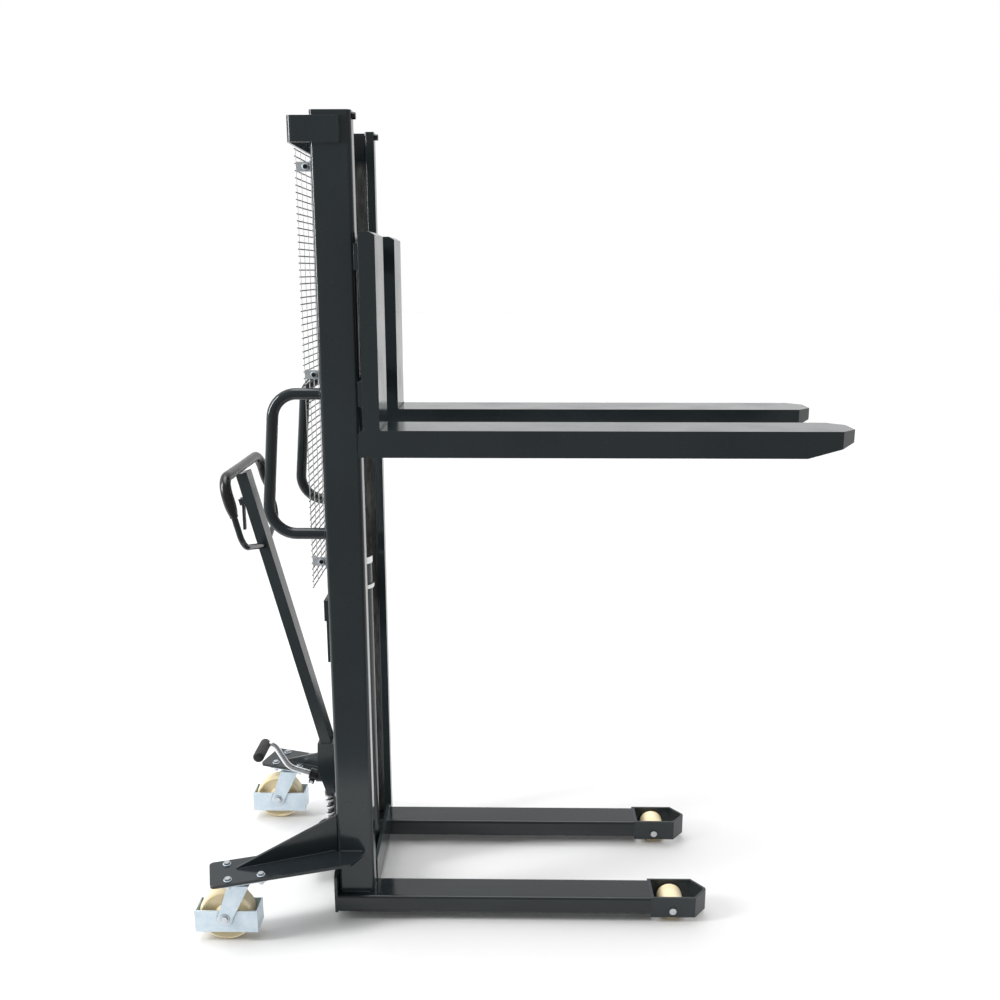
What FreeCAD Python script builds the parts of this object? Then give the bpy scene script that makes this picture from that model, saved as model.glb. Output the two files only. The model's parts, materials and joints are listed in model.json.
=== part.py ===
import FreeCAD, Part
import Sketcher
import math
import os

os.makedirs("parts", exist_ok=True)

document = FreeCAD.newDocument("stacker")

# Every driving size of the stacker, in millimetres or degrees.
# The x values run forwards along the forks, z runs up from the floor.
driving_sizes = {
    "mast_front_x": 0,
    "mast_half_width": 216,
    "mast_top_z": 2092,
    "column_depth": 98,
    "column_width": 40,
    "column_web": 6,
    "column_flange": 24,
    "column_corner": 11,
    "column_fillet": 9,
    "column_lip_corner": 5,
    "leg_top_z": 72,
    "leg_height": 50,
    "leg_inner_y": 148,
    "leg_width": 90,
    "leg_wall": 5,
    "leg_corner": 8,
    "leg_rear_reach": 0,
    "leg_front_reach": 753.5,
    "tip_length": 154.5,
    "tip_wall": 6,
    "tip_drop": 7,
    "tip_rise": 2,
    "tip_back_wall": 8,
    "nose_chamfer_length": 34,
    "nose_chamfer_width": 41,
    "nose_wall": 8,
    "load_axle_reach": 59.8,
    "load_roller_radius": 34,
    "load_roller_width": 70,
    "load_roller_bore": 8.05,
    "load_roller_hub": 24,
    "load_roller_dish": 4,
    "load_roller_edge": 5,
    "load_axle_radius": 8,
    "load_axle_head_radius": 9.5,
    "load_axle_head_height": 3,
    "beam_top_gap": 13,
    "beam_height": 59,
    "beam_plate": 6,
    "beam_rear_reach": 52,
    "beam_wing_reach": 71,
    "beam_corner": 14,
    "mid_beam_low_z": 730,
    "mid_beam_step_z": 843,
    "mid_beam_top_z": 899,
    "mid_beam_plate": 9.5,
    "mid_beam_step": 5,
    "mid_beam_half_width": 190,
    "rear_beam_plate": 8,
    "rear_beam_top_z": 138,
    "rear_beam_chamfer": 12,
    "front_beam_plate": 10,
    "front_beam_low_z": 36,
    "front_beam_top_z": 128,
    "floor_plate_thickness": 10,
    "floor_plate_half_width": 70,
    "floor_plate_rear_reach": 105,
    "outrigger_top_z": 195,
    "outrigger_plate": 8,
    "outrigger_angle": 17,
    "outrigger_width": 112,
    "outrigger_corner": 12,
    "outrigger_rear_reach": 87,
    "outrigger_front_reach": 315,
    "outrigger_front_chamfer": 42,
    "gusset_plate": 8,
    "gusset_offset": 8,
    "gusset_angle": 20.5,
    "gusset_rear_reach": 18,
    "gusset_rear_height": 3,
    "gusset_top_height": 108,
    "gusset_front_reach": 262,
    "caster_x": -329,
    "caster_y": 306,
    "caster_plate": 6,
    "caster_plate_length": 112,
    "caster_plate_width": 100,
    "caster_bolt_length_pitch": 84,
    "caster_bolt_width_pitch": 75,
    "caster_bolt_radius": 5,
    "caster_bolt_head_radius": 8.5,
    "caster_bolt_head_height": 6.5,
    "caster_bolt_tail": 4,
    "caster_bolt_nut_height": 8,
    "caster_race_radius": 33,
    "caster_race_height": 13,
    "caster_running_gap": 0.5,
    "caster_trail": 48,
    "caster_crown_height": 6,
    "caster_crown_front": 20,
    "caster_crown_rear": 36,
    "caster_wheel_radius": 72,
    "caster_wheel_width": 44,
    "caster_wheel_hub_radius": 22,
    "caster_wheel_dish_radius": 56,
    "caster_wheel_dish": 9,
    "caster_wheel_edge": 9,
    "caster_wheel_bore": 6.05,
    "caster_hub_gap": 0.5,
    "caster_axle_radius": 6,
    "caster_axle_head_radius": 9.5,
    "caster_axle_head_height": 6,
    "caster_leg_plate": 4,
    "caster_leg_half_width": 21,
    "caster_leg_corner": 20.8,
    "guard_half_width": 31,
    "guard_plate": 3,
    "guard_rear_reach": 81,
    "guard_front_reach": 85,
    "guard_low_drop": 42,
    "guard_height": 62,
    "handle_tube_radius": 14.5,
    "handle_tube_wall": 2.5,
    "handle_top_z": 1435,
    "handle_bottom_z": 1080,
    "handle_top_reach": 117,
    "handle_bottom_reach": 147,
    "handle_bend_radius": 62,
    "handle_lower_bend_radius": 68,
    "mesh_gap_x": 43,
    "mesh_wire": 3,
    "mesh_low_z": 927,
    "mesh_top_z": 2012,
    "mesh_half_width": 172,
    "clip_width": 24,
    "clip_height": 22,
    "clip_plate": 4,
    "clip_low_z": 1000,
    "clip_mid_z": 1480,
    "clip_top_z": 1970,
    "clip_screw_head_radius": 6.5,
    "clip_screw_head_height": 4,
    "stop_bolt_drop": 12,
    "stop_bolt_head_radius": 8,
    "stop_bolt_head_height": 9,
    "cylinder_setback": 45,
    "cylinder_radius": 32,
    "cylinder_bore_radius": 24,
    "cylinder_top_z": 949,
    "gland_height": 18,
    "gland_radius": 34,
    "rod_radius": 17.95,
    "gland_bore_radius": 18,
    "piston_radius": 23.95,
    "piston_height": 30,
    "rod_foot_z": 752,
    "clamp_z": 884,
    "clamp_height": 11,
    "clamp_strap": 5,
    "yoke_drop": 64,
    "yoke_base_height": 16,
    "yoke_half_width": 25,
    "yoke_plate": 7,
    "yoke_half_depth": 20,
    "pulley_z": 1678,
    "pulley_groove_radius": 38,
    "pulley_flange_radius": 44,
    "pulley_width": 34,
    "pulley_flange": 6,
    "pulley_bore": 10.05,
    "pulley_pin_radius": 10,
    "pulley_pin_head_radius": 14,
    "pulley_pin_head_height": 3,
    "chain_thickness": 6,
    "chain_width": 18,
    "chain_groove_gap": 0.5,
    "frame_anchor_low_z": 876,
    "frame_anchor_top_z": 954,
    "frame_anchor_half_width": 16,
    "frame_anchor_side_gap": 0.5,
    "carriage_anchor_low_z": 1415,
    "carriage_anchor_top_z": 1457,
    "carriage_anchor_half_width": 16,
    "fork_top_z": 1355,
    "fork_height": 66,
    "fork_width": 150,
    "fork_outer_y": 270,
    "fork_wall": 6,
    "fork_heel_x": 55,
    "fork_length": 1150,
    "fork_taper_length": 120,
    "fork_tip_height": 32,
    "fork_tip_wall": 10,
    "fork_tip_chamfer": 38,
    "shank_depth": 40,
    "shank_top_z": 1819,
    "shank_top_chamfer_drop": 8,
    "shank_top_chamfer_run": 14,
    "heel_wing": 13,
    "heel_wing_drop": 10,
    "heel_wing_slope": 13,
    "carriage_bar_plate": 11,
    "carriage_bar_half_width": 262,
    "carriage_bar_height": 60,
    "lower_bar_low_z": 1412,
    "upper_bar_low_z": 1732,
    "side_plate_inner_y": 150,
    "side_plate": 12,
    "side_plate_rear_reach": 92,
    "roller_low_z": 1447,
    "roller_high_z": 1762,
    "roller_side_gap": 0.5,
    "roller_width": 24,
    "roller_web_gap": 7,
    "roller_bore": 15.05,
    "roller_axle_radius": 15,
    "roller_axle_flange_radius": 22,
    "roller_axle_flange": 4,
    "roller_recess": 3,
    "roller_recess_radius": 19,
    "pump_setback": 153,
    "pump_radius": 40,
    "pump_top_z": 147,
    "pump_collar_radius": 19,
    "pump_collar_top_z": 157,
    "pump_bore_radius": 9,
    "piston_foot_z": 102,
    "plunger_stroke_room": 22,
    "plunger_radius": 8.95,
    "plunger_cap_radius": 17,
    "plunger_cap_height": 7,
    "plunger_top_z": 254,
    "spring_wire_radius": 3,
    "spring_coil_radius": 13.5,
    "spring_end_gap": 0.4,
    "pivot_setback": 125,
    "pivot_z": 266,
    "pivot_pin_radius": 8,
    "pivot_bore_radius": 8.05,
    "pivot_pin_overhang": 4,
    "pump_ear_plate": 10,
    "pump_ear_half_gap": 29,
    "pump_ear_half_length": 12,
    "pump_ear_top_rise": 18,
    "rocker_half_width": 28,
    "rocker_boss_radius": 15,
    "rocker_nose_radius": 8,
    "rocker_socket_low_z": 336,
    "rocker_socket_front_setback": 124,
    "rocker_socket_rear_setback": 183,
    "rocker_top_z": 417,
    "rocker_top_front_setback": 133,
    "rocker_top_rear_setback": 179,
    "tiller_lean": 14.2,
    "tiller_foot_setback": 145.5,
    "tiller_foot_z": 377,
    "tiller_tube_length": 660,
    "tiller_tube_depth": 30,
    "tiller_tube_width": 50,
    "tiller_tube_wall": 3,
    "loop_tube_radius": 8,
    "loop_half_width": 185,
    "loop_height": 205,
    "loop_low_height": 20,
    "loop_shoulder_height": 22,
    "loop_bend_radius": 45,
    "grip_radius": 16,
    "grip_low_height": 84,
    "cover_half_width": 25,
    "cover_rear": 15,
    "cover_front": 15,
    "cover_foot_half_width": 25,
    "cover_height": 188.6,
    "lever_length": 80,
    "lever_pivot_height": 112,
    "lever_half_width": 7,
    "lever_thickness": 6,
    "lever_offset": 24,
    "lever_boss_radius": 8,
    "lever_pin_radius": 3.5,
    "lever_bore": 3.55,
    "lever_ear_plate": 4,
    "lever_ear_gap": 1,
    "lever_ear_half_depth": 9,
    "pedal_bar_radius": 8,
    "pedal_grip_radius": 15.5,
    "pedal_grip_length": 94,
    "pedal_grip_overhang": 9,
    "pedal_x_setback": 336,
    "pedal_z": 400,
    "pedal_rise_setback": 310,
    "pedal_rise_z": 400,
    "pedal_knee_setback": 270.4,
    "pedal_knee_z": 329.7,
    "pedal_root_setback": 176,
    "pedal_root_z": 299,
    "pedal_bend_radius": 24,
    "pedal_boss_length": 30,
    "pedal_boss_radius": 14,
    "origin_x": -373.5,
}

# Shares and counts that carry no length.
spring_turns = 5
edge_point_count = 12
mesh_rows = 66
mesh_columns = 4
quarter_share = 0.25
half_turn = 180

sheet = document.addObject("Spreadsheet::Sheet", "Sizes")
for row, (alias, number) in enumerate(driving_sizes.items(), start=1):
    label_cell = "A" + str(row)
    value_cell = "B" + str(row)
    sheet.set(label_cell, alias)
    sheet.set(value_cell, str(number))
    sheet.setAlias(value_cell, alias)
document.recompute()


class Length:
    """A size with the sheet expression that gives it."""

    def __init__(self, text, value):
        self.text = text
        self.value = value

    def joined(self, mark, other, value):
        text = other.text if isinstance(other, Length) else repr(other)
        return Length("(" + self.text + " " + mark + " " + text + ")", value)

    def __add__(self, other):
        return self.joined("+", other, self.value + plain(other))

    def __sub__(self, other):
        return self.joined("-", other, self.value - plain(other))

    def __mul__(self, other):
        return self.joined("*", other, self.value * plain(other))

    def __truediv__(self, other):
        return self.joined("/", other, self.value / plain(other))

    def __neg__(self):
        return Length("(0 - " + self.text + ")", -self.value)


def plain(item):
    return item.value if isinstance(item, Length) else item


class SizeBook:
    """Gives each sheet alias as a Length."""

    def __getattr__(self, alias):
        if alias not in driving_sizes:
            raise AttributeError(alias)
        return Length("Sizes." + alias, float(sheet.get(alias)))


size = SizeBook()
zero = size.mast_front_x * 0


def sine(angle):
    return Length("sin(" + angle.text + " * 1 deg)", math.sin(math.radians(angle.value)))


def cosine(angle):
    return Length("cos(" + angle.text + " * 1 deg)", math.cos(math.radians(angle.value)))


def bind(item, field, length):
    item.setExpression(field, length.text)


def place(item, x, y, z):
    item.Placement.Base = FreeCAD.Vector(plain(x), plain(y), plain(z))
    for field, length in (("x", x), ("y", y), ("z", z)):
        if isinstance(length, Length):
            bind(item, "Placement.Base." + field, length)


def block(name, x_range, y_range, z_range):
    item = document.addObject("Part::Box", name)
    for field, (low, high) in (("Length", x_range), ("Width", y_range), ("Height", z_range)):
        bind(item, field, high - low)
    place(item, x_range[0], y_range[0], z_range[0])
    return item


turn_of_axis = {
    "x": FreeCAD.Rotation(FreeCAD.Vector(0, 1, 0), 90),
    "y": FreeCAD.Rotation(FreeCAD.Vector(1, 0, 0), -90),
    "z": FreeCAD.Rotation(),
}


def disc(name, axis, start, radius, reach):
    """A cylinder that starts at a point and runs along a positive axis."""
    item = document.addObject("Part::Cylinder", name)
    item.Placement.Rotation = turn_of_axis[axis]
    bind(item, "Radius", radius)
    bind(item, "Height", reach)
    place(item, *start)
    return item


def hexagon_bar(name, axis, start, radius, reach):
    """A six-sided bar, such as a bolt head or a nut."""
    item = document.addObject("Part::Prism", name)
    item.Polygon = 6
    item.Placement.Rotation = turn_of_axis[axis]
    bind(item, "Circumradius", radius)
    bind(item, "Height", reach)
    place(item, *start)
    return item


def fuse(name, items):
    item = document.addObject("Part::MultiFuse", name)
    item.Shapes = items
    item.Refine = True
    return item


def cut(name, base, tools):
    whole = tools[0] if len(tools) == 1 else fuse(name + "_tools", tools)
    item = document.addObject("Part::Cut", name)
    item.Base = base
    item.Tool = whole
    return item


def mirror(name, source):
    item = document.addObject("Part::Mirroring", name)
    item.Source = source
    item.Base = FreeCAD.Vector(0, 0, 0)
    item.Normal = FreeCAD.Vector(0, 1, 0)
    return item


def group(name, items):
    item = document.addObject("Part::Compound", name)
    item.Links = items
    return item


def origin_plane(body, role):
    for feature in body.Origin.OriginFeatures:
        if feature.Role == role:
            return feature
    raise RuntimeError("no plane " + role)


def outline(body, name, role, corners, offset):
    """A closed polygon whose corners all follow the sheet."""
    sketch = body.newObject("Sketcher::SketchObject", name)
    sketch.AttachmentSupport = [(origin_plane(body, role), "")]
    sketch.MapMode = "FlatFace"
    sketch.AttachmentOffset = FreeCAD.Placement(
        FreeCAD.Vector(0, 0, offset.value), FreeCAD.Rotation())
    bind(sketch, "AttachmentOffset.Base.z", offset)
    points = [FreeCAD.Vector(u.value, v.value, 0) for u, v in corners]
    total = len(points)
    for index in range(total):
        sketch.addGeometry(Part.LineSegment(points[index], points[(index + 1) % total]), False)
    for index in range(total):
        following = (index + 1) % total
        sketch.addConstraint(Sketcher.Constraint("Coincident", index, 2, following, 1))
    for index, (u, v) in enumerate(corners):
        for kind, length in (("DistanceX", u), ("DistanceY", v)):
            number = sketch.addConstraint(
                Sketcher.Constraint(kind, -1, 1, index, 1, length.value))
            sketch.setExpression("Constraints[" + str(number) + "]", length.text)
    return sketch


def flipped_offset(role, low, high):
    """Where a sketch plane sits so that a pad fills low to high."""
    return -high if role == "XZ_Plane" else low


def padded(name, role, corners, low, high):
    body = document.addObject("PartDesign::Body", name)
    sketch = outline(body, name + "_outline", role, corners, flipped_offset(role, low, high))
    pad = body.newObject("PartDesign::Pad", name + "_pad")
    pad.Profile = sketch
    bind(pad, "Length", high - low)
    sketch.Visibility = False
    document.recompute()
    return body


def pocketed(body, name, role, corners, low, high):
    """Cuts a polygon out of a body between low and high."""
    before = body.Shape.Volume
    offset = -low if role == "XZ_Plane" else high
    sketch = outline(body, name + "_outline", role, corners, offset)
    pocket = body.newObject("PartDesign::Pocket", name + "_pocket")
    pocket.Profile = sketch
    bind(pocket, "Length", high - low)
    sketch.Visibility = False
    document.recompute()
    if not body.Shape.Volume < before:
        raise RuntimeError(name + " did not cut")
    return body


def rounded(body, name, direction, spots, radius):
    """Rounds the edges that run along a direction through given spots."""
    chosen = []
    solid = body.Tip
    for number, edge in enumerate(solid.Shape.Edges, start=1):
        if edge.Curve.TypeId != "Part::GeomLine":
            continue
        way = edge.tangentAt(edge.FirstParameter)
        if abs(way.dot(direction)) < 1 - edge_tolerance:
            continue
        middle = edge.CenterOfMass
        for spot in spots:
            gap = middle - spot
            gap = gap - direction * gap.dot(direction)
            if gap.Length < edge_tolerance:
                chosen.append("Edge" + str(number))
                break
    if not chosen:
        raise RuntimeError(name + " found no edge")
    fillet = body.newObject("PartDesign::Fillet", name)
    fillet.Base = (solid, chosen)
    bind(fillet, "Radius", radius)
    document.recompute()
    return body


edge_tolerance = 0.001


def turned(name, profile, centre):
    """A round piece about the y direction, from pairs of y and radius."""
    body = document.addObject("PartDesign::Body", name)
    sketch = outline(body, name + "_outline", "YZ_Plane", profile, zero)
    spin = body.newObject("PartDesign::Revolution", name + "_spin")
    spin.Profile = sketch
    spin.ReferenceAxis = (sketch, ["H_Axis"])
    spin.Angle = 2 * half_turn
    sketch.Visibility = False
    place(body, *centre)
    document.recompute()
    return body


def bent_wire(points, radii):
    """Straight runs joined by tangent arcs at the inner points."""
    edges = []
    start = points[0]
    for index in range(1, len(points) - 1):
        corner = points[index]
        back = (points[index - 1] - corner).normalize()
        ahead = (points[index + 1] - corner).normalize()
        half = back.getAngle(ahead) / 2
        run = radii[index - 1] / math.tan(half)
        first = corner + back * run
        last = corner + ahead * run
        inward = (back + ahead).normalize()
        middle = corner + inward * (radii[index - 1] / math.sin(half) - radii[index - 1])
        if (first - start).Length > edge_tolerance:
            edges.append(Part.makeLine(start, first))
        edges.append(Part.Arc(first, middle, last).toShape())
        start = last
    edges.append(Part.makeLine(start, points[-1]))
    return Part.Wire(edges)


def tube_solid(wire, radius, bore=None):
    """A round bar along a wire, hollow if a bore is given."""
    start = wire.Vertexes[0].Point
    first_edge = wire.OrderedEdges[0]
    way = first_edge.tangentAt(first_edge.FirstParameter)
    solids = []
    for reach in (radius, bore):
        if reach is None:
            continue
        ring = Part.Wire([Part.makeCircle(reach, start, way)])
        solids.append(wire.makePipeShell([ring], True, False))
    if bore is None:
        return solids[0]
    return solids[0].cut(solids[1])


def feature(name, shape):
    item = document.addObject("Part::Feature", name)
    item.Shape = shape
    item.Placement = FreeCAD.Placement()
    return item


exports = []


def keep(item):
    exports.append(item)
    return item


up = FreeCAD.Vector(0, 0, 1)
across = FreeCAD.Vector(0, 1, 0)
ahead = FreeCAD.Vector(1, 0, 0)
shift = size.origin_x

# Shared positions. The right side of the stacker is at negative y.
front_x = size.mast_front_x + shift
rear_x = front_x - size.column_depth
outer_y = size.mast_half_width
inner_y = outer_y - size.column_width
leg_outer_y = size.leg_inner_y + size.leg_width
leg_low_z = size.leg_top_z - size.leg_height
leg_rear_x = rear_x - size.leg_rear_reach
leg_front_x = front_x + size.leg_front_reach


def span(centre, half):
    return (centre - half, centre + half)


# Mast columns: channels with thick flanges, the web outwards and the open side inwards.
right_column = padded("right_mast_column", "XY_Plane", [
    (rear_x, -outer_y),
    (front_x, -outer_y),
    (front_x, -inner_y),
    (front_x - size.column_flange, -inner_y),
    (front_x - size.column_flange, -outer_y + size.column_web),
    (rear_x + size.column_flange, -outer_y + size.column_web),
    (rear_x + size.column_flange, -inner_y),
    (rear_x, -inner_y),
], size.leg_top_z, size.mast_top_z)
rounded(right_column, "right_mast_column_corners", up, [
    FreeCAD.Vector(rear_x.value, -outer_y.value, 0),
    FreeCAD.Vector(front_x.value, -outer_y.value, 0),
], size.column_corner)
channel_faces = (rear_x + size.column_flange, front_x - size.column_flange)
rounded(right_column, "right_mast_column_lips", up,
        [FreeCAD.Vector(face.value, -inner_y.value, 0) for face in channel_faces],
        size.column_lip_corner)
rounded(right_column, "right_mast_column_fillets", up,
        [FreeCAD.Vector(face.value, (-outer_y + size.column_web).value, 0) for face in channel_faces],
        size.column_fillet)
keep(right_column)
keep(mirror("left_mast_column", right_column))

# Straddle legs: box tubes with rounded long edges.
leg_edges = [(-leg_outer_y, leg_low_z), (-size.leg_inner_y, leg_low_z),
             (-size.leg_inner_y, size.leg_top_z), (-leg_outer_y, size.leg_top_z)]
leg_box = padded("right_leg_box", "YZ_Plane", leg_edges, leg_rear_x, leg_front_x)
rounded(leg_box, "right_leg_corners", ahead,
        [FreeCAD.Vector(0, v.value, w.value) for v, w in leg_edges], size.leg_corner)
leg_hollow = block("right_leg_hollow", (leg_rear_x, leg_front_x),
                   (-leg_outer_y + size.leg_wall, -size.leg_inner_y - size.leg_wall),
                   (leg_low_z + size.leg_wall, size.leg_top_z - size.leg_wall))
right_leg = keep(cut("right_leg", leg_box, [leg_hollow]))
keep(mirror("left_leg", right_leg))

# Leg tips: pockets open above and below round the load rollers, with a pointed nose.
tip_end_x = leg_front_x + size.tip_length
tip_low_z = leg_low_z - size.tip_drop
tip_top_z = size.leg_top_z + size.tip_rise
right_tip = padded("right_leg_tip", "XY_Plane", [
    (leg_front_x, -leg_outer_y),
    (tip_end_x - size.nose_chamfer_length, -leg_outer_y),
    (tip_end_x, -leg_outer_y + size.nose_chamfer_width),
    (tip_end_x, -size.leg_inner_y - size.nose_chamfer_width),
    (tip_end_x - size.nose_chamfer_length, -size.leg_inner_y),
    (leg_front_x, -size.leg_inner_y),
], tip_low_z, tip_top_z)
pocketed(right_tip, "right_leg_tip_well", "XY_Plane", [
    (leg_front_x + size.tip_back_wall, -leg_outer_y + size.tip_wall),
    (tip_end_x - size.nose_chamfer_length - size.nose_wall * quarter_share,
     -leg_outer_y + size.tip_wall),
    (tip_end_x - size.nose_wall, -leg_outer_y + size.nose_chamfer_width),
    (tip_end_x - size.nose_wall, -size.leg_inner_y - size.nose_chamfer_width),
    (tip_end_x - size.nose_chamfer_length - size.nose_wall * quarter_share,
     -size.leg_inner_y - size.tip_wall),
    (leg_front_x + size.tip_back_wall, -size.leg_inner_y - size.tip_wall),
], tip_low_z, tip_top_z)
load_axle_x = leg_front_x + size.load_axle_reach
leg_centre_y = size.leg_inner_y + size.leg_width / 2
tip_bore = disc("right_leg_tip_bore", "y", (load_axle_x, -leg_outer_y, size.load_roller_radius),
                size.load_axle_radius, size.leg_width)
right_tip_piece = cut("right_roller_pocket", right_tip, [tip_bore])
keep(group("roller_pockets", [right_tip_piece, mirror("left_roller_pocket", right_tip_piece)]))

# Load rollers on plain axles.
roller_half = size.load_roller_width / 2
load_profile = [
    (-roller_half, size.load_roller_bore),
    (-roller_half, size.load_roller_hub),
    (-roller_half + size.load_roller_dish, size.load_roller_hub + size.load_roller_dish),
    (-roller_half, size.load_roller_radius - size.load_roller_edge),
    (-roller_half + size.load_roller_edge, size.load_roller_radius),
    (roller_half - size.load_roller_edge, size.load_roller_radius),
    (roller_half, size.load_roller_radius - size.load_roller_edge),
    (roller_half - size.load_roller_dish, size.load_roller_hub + size.load_roller_dish),
    (roller_half, size.load_roller_hub),
    (roller_half, size.load_roller_bore),
]
for side, sign in (("right", -1), ("left", 1)):
    keep(turned(side + "_load_roller", load_profile,
                (load_axle_x, leg_centre_y * sign, size.load_roller_radius)))


def load_axle(side, sign):
    centre = leg_centre_y * sign
    low = centre - size.leg_width / 2
    high = centre + size.leg_width / 2
    shaft = disc(side + "_load_shaft", "y", (load_axle_x, low, size.load_roller_radius),
                 size.load_axle_radius, size.leg_width)
    near_head = disc(side + "_load_head_low", "y",
                     (load_axle_x, low - size.load_axle_head_height, size.load_roller_radius),
                     size.load_axle_head_radius, size.load_axle_head_height)
    far_head = disc(side + "_load_head_high", "y", (load_axle_x, high, size.load_roller_radius),
                    size.load_axle_head_radius, size.load_axle_head_height)
    return fuse(side + "_load_axle", [shaft, near_head, far_head])


keep(group("load_roller_axles", [load_axle("right", -1), load_axle("left", 1)]))

# Top beam: one bent plate round the back of both columns.
beam_rear_x = rear_x - size.beam_rear_reach
beam_wing_x = rear_x + size.beam_wing_reach
beam_outer_y = outer_y + size.beam_plate
beam_top_z = size.mast_top_z - size.beam_top_gap
top_beam = padded("top_beam", "XY_Plane", [
    (beam_rear_x, -beam_outer_y),
    (beam_wing_x, -beam_outer_y),
    (beam_wing_x, -outer_y),
    (beam_rear_x + size.beam_plate, -outer_y),
    (beam_rear_x + size.beam_plate, outer_y),
    (beam_wing_x, outer_y),
    (beam_wing_x, beam_outer_y),
    (beam_rear_x, beam_outer_y),
], beam_top_z - size.beam_height, beam_top_z)
rounded(top_beam, "top_beam_bends", up, [
    FreeCAD.Vector(beam_rear_x.value, -beam_outer_y.value, 0),
    FreeCAD.Vector(beam_rear_x.value, beam_outer_y.value, 0),
], size.beam_corner)
keep(top_beam)

# Middle beam behind the columns, stepped in thickness.
middle_beam_bar = padded("middle_beam_bar", "XZ_Plane", [
    (rear_x, size.mid_beam_low_z),
    (rear_x, size.mid_beam_top_z),
    (rear_x - size.mid_beam_plate - size.mid_beam_step, size.mid_beam_top_z),
    (rear_x - size.mid_beam_plate - size.mid_beam_step, size.mid_beam_step_z),
    (rear_x - size.mid_beam_plate, size.mid_beam_step_z),
    (rear_x - size.mid_beam_plate, size.mid_beam_low_z),
], -size.mid_beam_half_width, size.mid_beam_half_width)

# Rear beam across the leg ends, chamfered at its upper corners.
rear_beam = padded("rear_beam", "YZ_Plane", [
    (-leg_outer_y, leg_low_z),
    (leg_outer_y, leg_low_z),
    (leg_outer_y, size.rear_beam_top_z - size.rear_beam_chamfer),
    (leg_outer_y - size.rear_beam_chamfer, size.rear_beam_top_z),
    (-leg_outer_y + size.rear_beam_chamfer, size.rear_beam_top_z),
    (-leg_outer_y, size.rear_beam_top_z - size.rear_beam_chamfer),
], leg_rear_x - size.rear_beam_plate, leg_rear_x)
front_beam = block("front_beam", (front_x - size.front_beam_plate, front_x),
                   (-size.leg_inner_y, size.leg_inner_y),
                   (size.front_beam_low_z, size.front_beam_top_z))
keep(group("base_beams", [rear_beam, front_beam]))

# Floor plates: one between the beams under the lift cylinder, one behind them under the pump.
floor_low_z = size.leg_top_z - size.floor_plate_thickness
floor_front = block("floor_plate_front", (leg_rear_x, front_x - size.front_beam_plate),
                    (-size.leg_inner_y, size.leg_inner_y), (floor_low_z, size.leg_top_z))
pump_shelf = block("pump_shelf", (rear_x - size.floor_plate_rear_reach, leg_rear_x - size.rear_beam_plate),
                   (-size.floor_plate_half_width, size.floor_plate_half_width),
                   (floor_low_z, size.leg_top_z))
keep(group("floor_plates", [floor_front, pump_shelf]))

# Outriggers: splayed plates bolted to the casters, with an upright gusset on each.
splay_sine = sine(size.outrigger_angle)
splay_cosine = cosine(size.outrigger_angle)
caster_x = size.caster_x + shift
caster_y = -size.caster_y


def splayed(along, sideways):
    """A spot on the right outrigger: along is forwards, sideways is inwards."""
    return (caster_x + along * splay_cosine - sideways * splay_sine,
            caster_y + along * splay_sine + sideways * splay_cosine)


outrigger_low_z = size.outrigger_top_z - size.outrigger_plate
arm_half = size.outrigger_width / 2
right_arm = padded("right_outrigger_plate", "XY_Plane", [
    splayed(-size.outrigger_rear_reach, -arm_half),
    splayed(size.outrigger_front_reach - size.outrigger_front_chamfer, -arm_half),
    splayed(size.outrigger_front_reach, -arm_half + size.outrigger_front_chamfer),
    splayed(size.outrigger_front_reach, arm_half),
    splayed(-size.outrigger_rear_reach, arm_half),
], outrigger_low_z, size.outrigger_top_z)
rear_corners = [splayed(-size.outrigger_rear_reach, -arm_half),
                splayed(-size.outrigger_rear_reach, arm_half)]
rounded(right_arm, "right_outrigger_corners", up,
        [FreeCAD.Vector(u.value, v.value, 0) for u, v in rear_corners], size.outrigger_corner)
column_room = block("right_outrigger_room", (rear_x, front_x + size.column_depth),
                    (-outer_y, zero), (outrigger_low_z, size.outrigger_top_z))
bolt_places = []
for along_sign in (-1, 1):
    for side_sign in (-1, 1):
        bolt_places.append(splayed(size.caster_bolt_length_pitch / 2 * along_sign,
                                   size.caster_bolt_width_pitch / 2 * side_sign))
caster_plate_low_z = outrigger_low_z - size.caster_plate


def bolt_holes(name, low, reach):
    holes = []
    for number, (u, v) in enumerate(bolt_places, start=1):
        holes.append(disc(name + str(number), "z", (u, v, low), size.caster_bolt_radius, reach))
    return holes


right_arm_piece = cut("right_outrigger", right_arm,
                      [column_room] + bolt_holes("right_arm_hole", outrigger_low_z, size.outrigger_plate))
keep(group("outrigger_plates", [right_arm_piece, mirror("left_outrigger", right_arm_piece)]))

# Gussets stand on the outriggers and run up to the columns' back faces.
gusset_body = padded("right_gusset_blank", "XZ_Plane", [
    (-size.gusset_rear_reach, zero),
    (size.gusset_front_reach, zero),
    (size.gusset_front_reach, size.gusset_top_height),
    (-size.gusset_rear_reach, size.gusset_rear_height),
], zero, size.gusset_plate)
gusset_body.Placement.Rotation = FreeCAD.Rotation(up, size.gusset_angle.value)
gusset_body.setExpression("Placement.Rotation.Angle", size.gusset_angle.text + " * 1 deg")
gusset_x, gusset_y = splayed(zero, size.gusset_offset)
place(gusset_body, gusset_x, gusset_y, size.outrigger_top_z)
gusset_room = block("right_gusset_room", (rear_x, front_x),
                    (-outer_y - size.column_width, zero),
                    (size.outrigger_top_z, size.outrigger_top_z + size.gusset_top_height * 2))
right_gusset = cut("right_gusset", gusset_body, [gusset_room])
keep(group("outrigger_gussets", [right_gusset, mirror("left_gusset", right_gusset)]))

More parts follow.
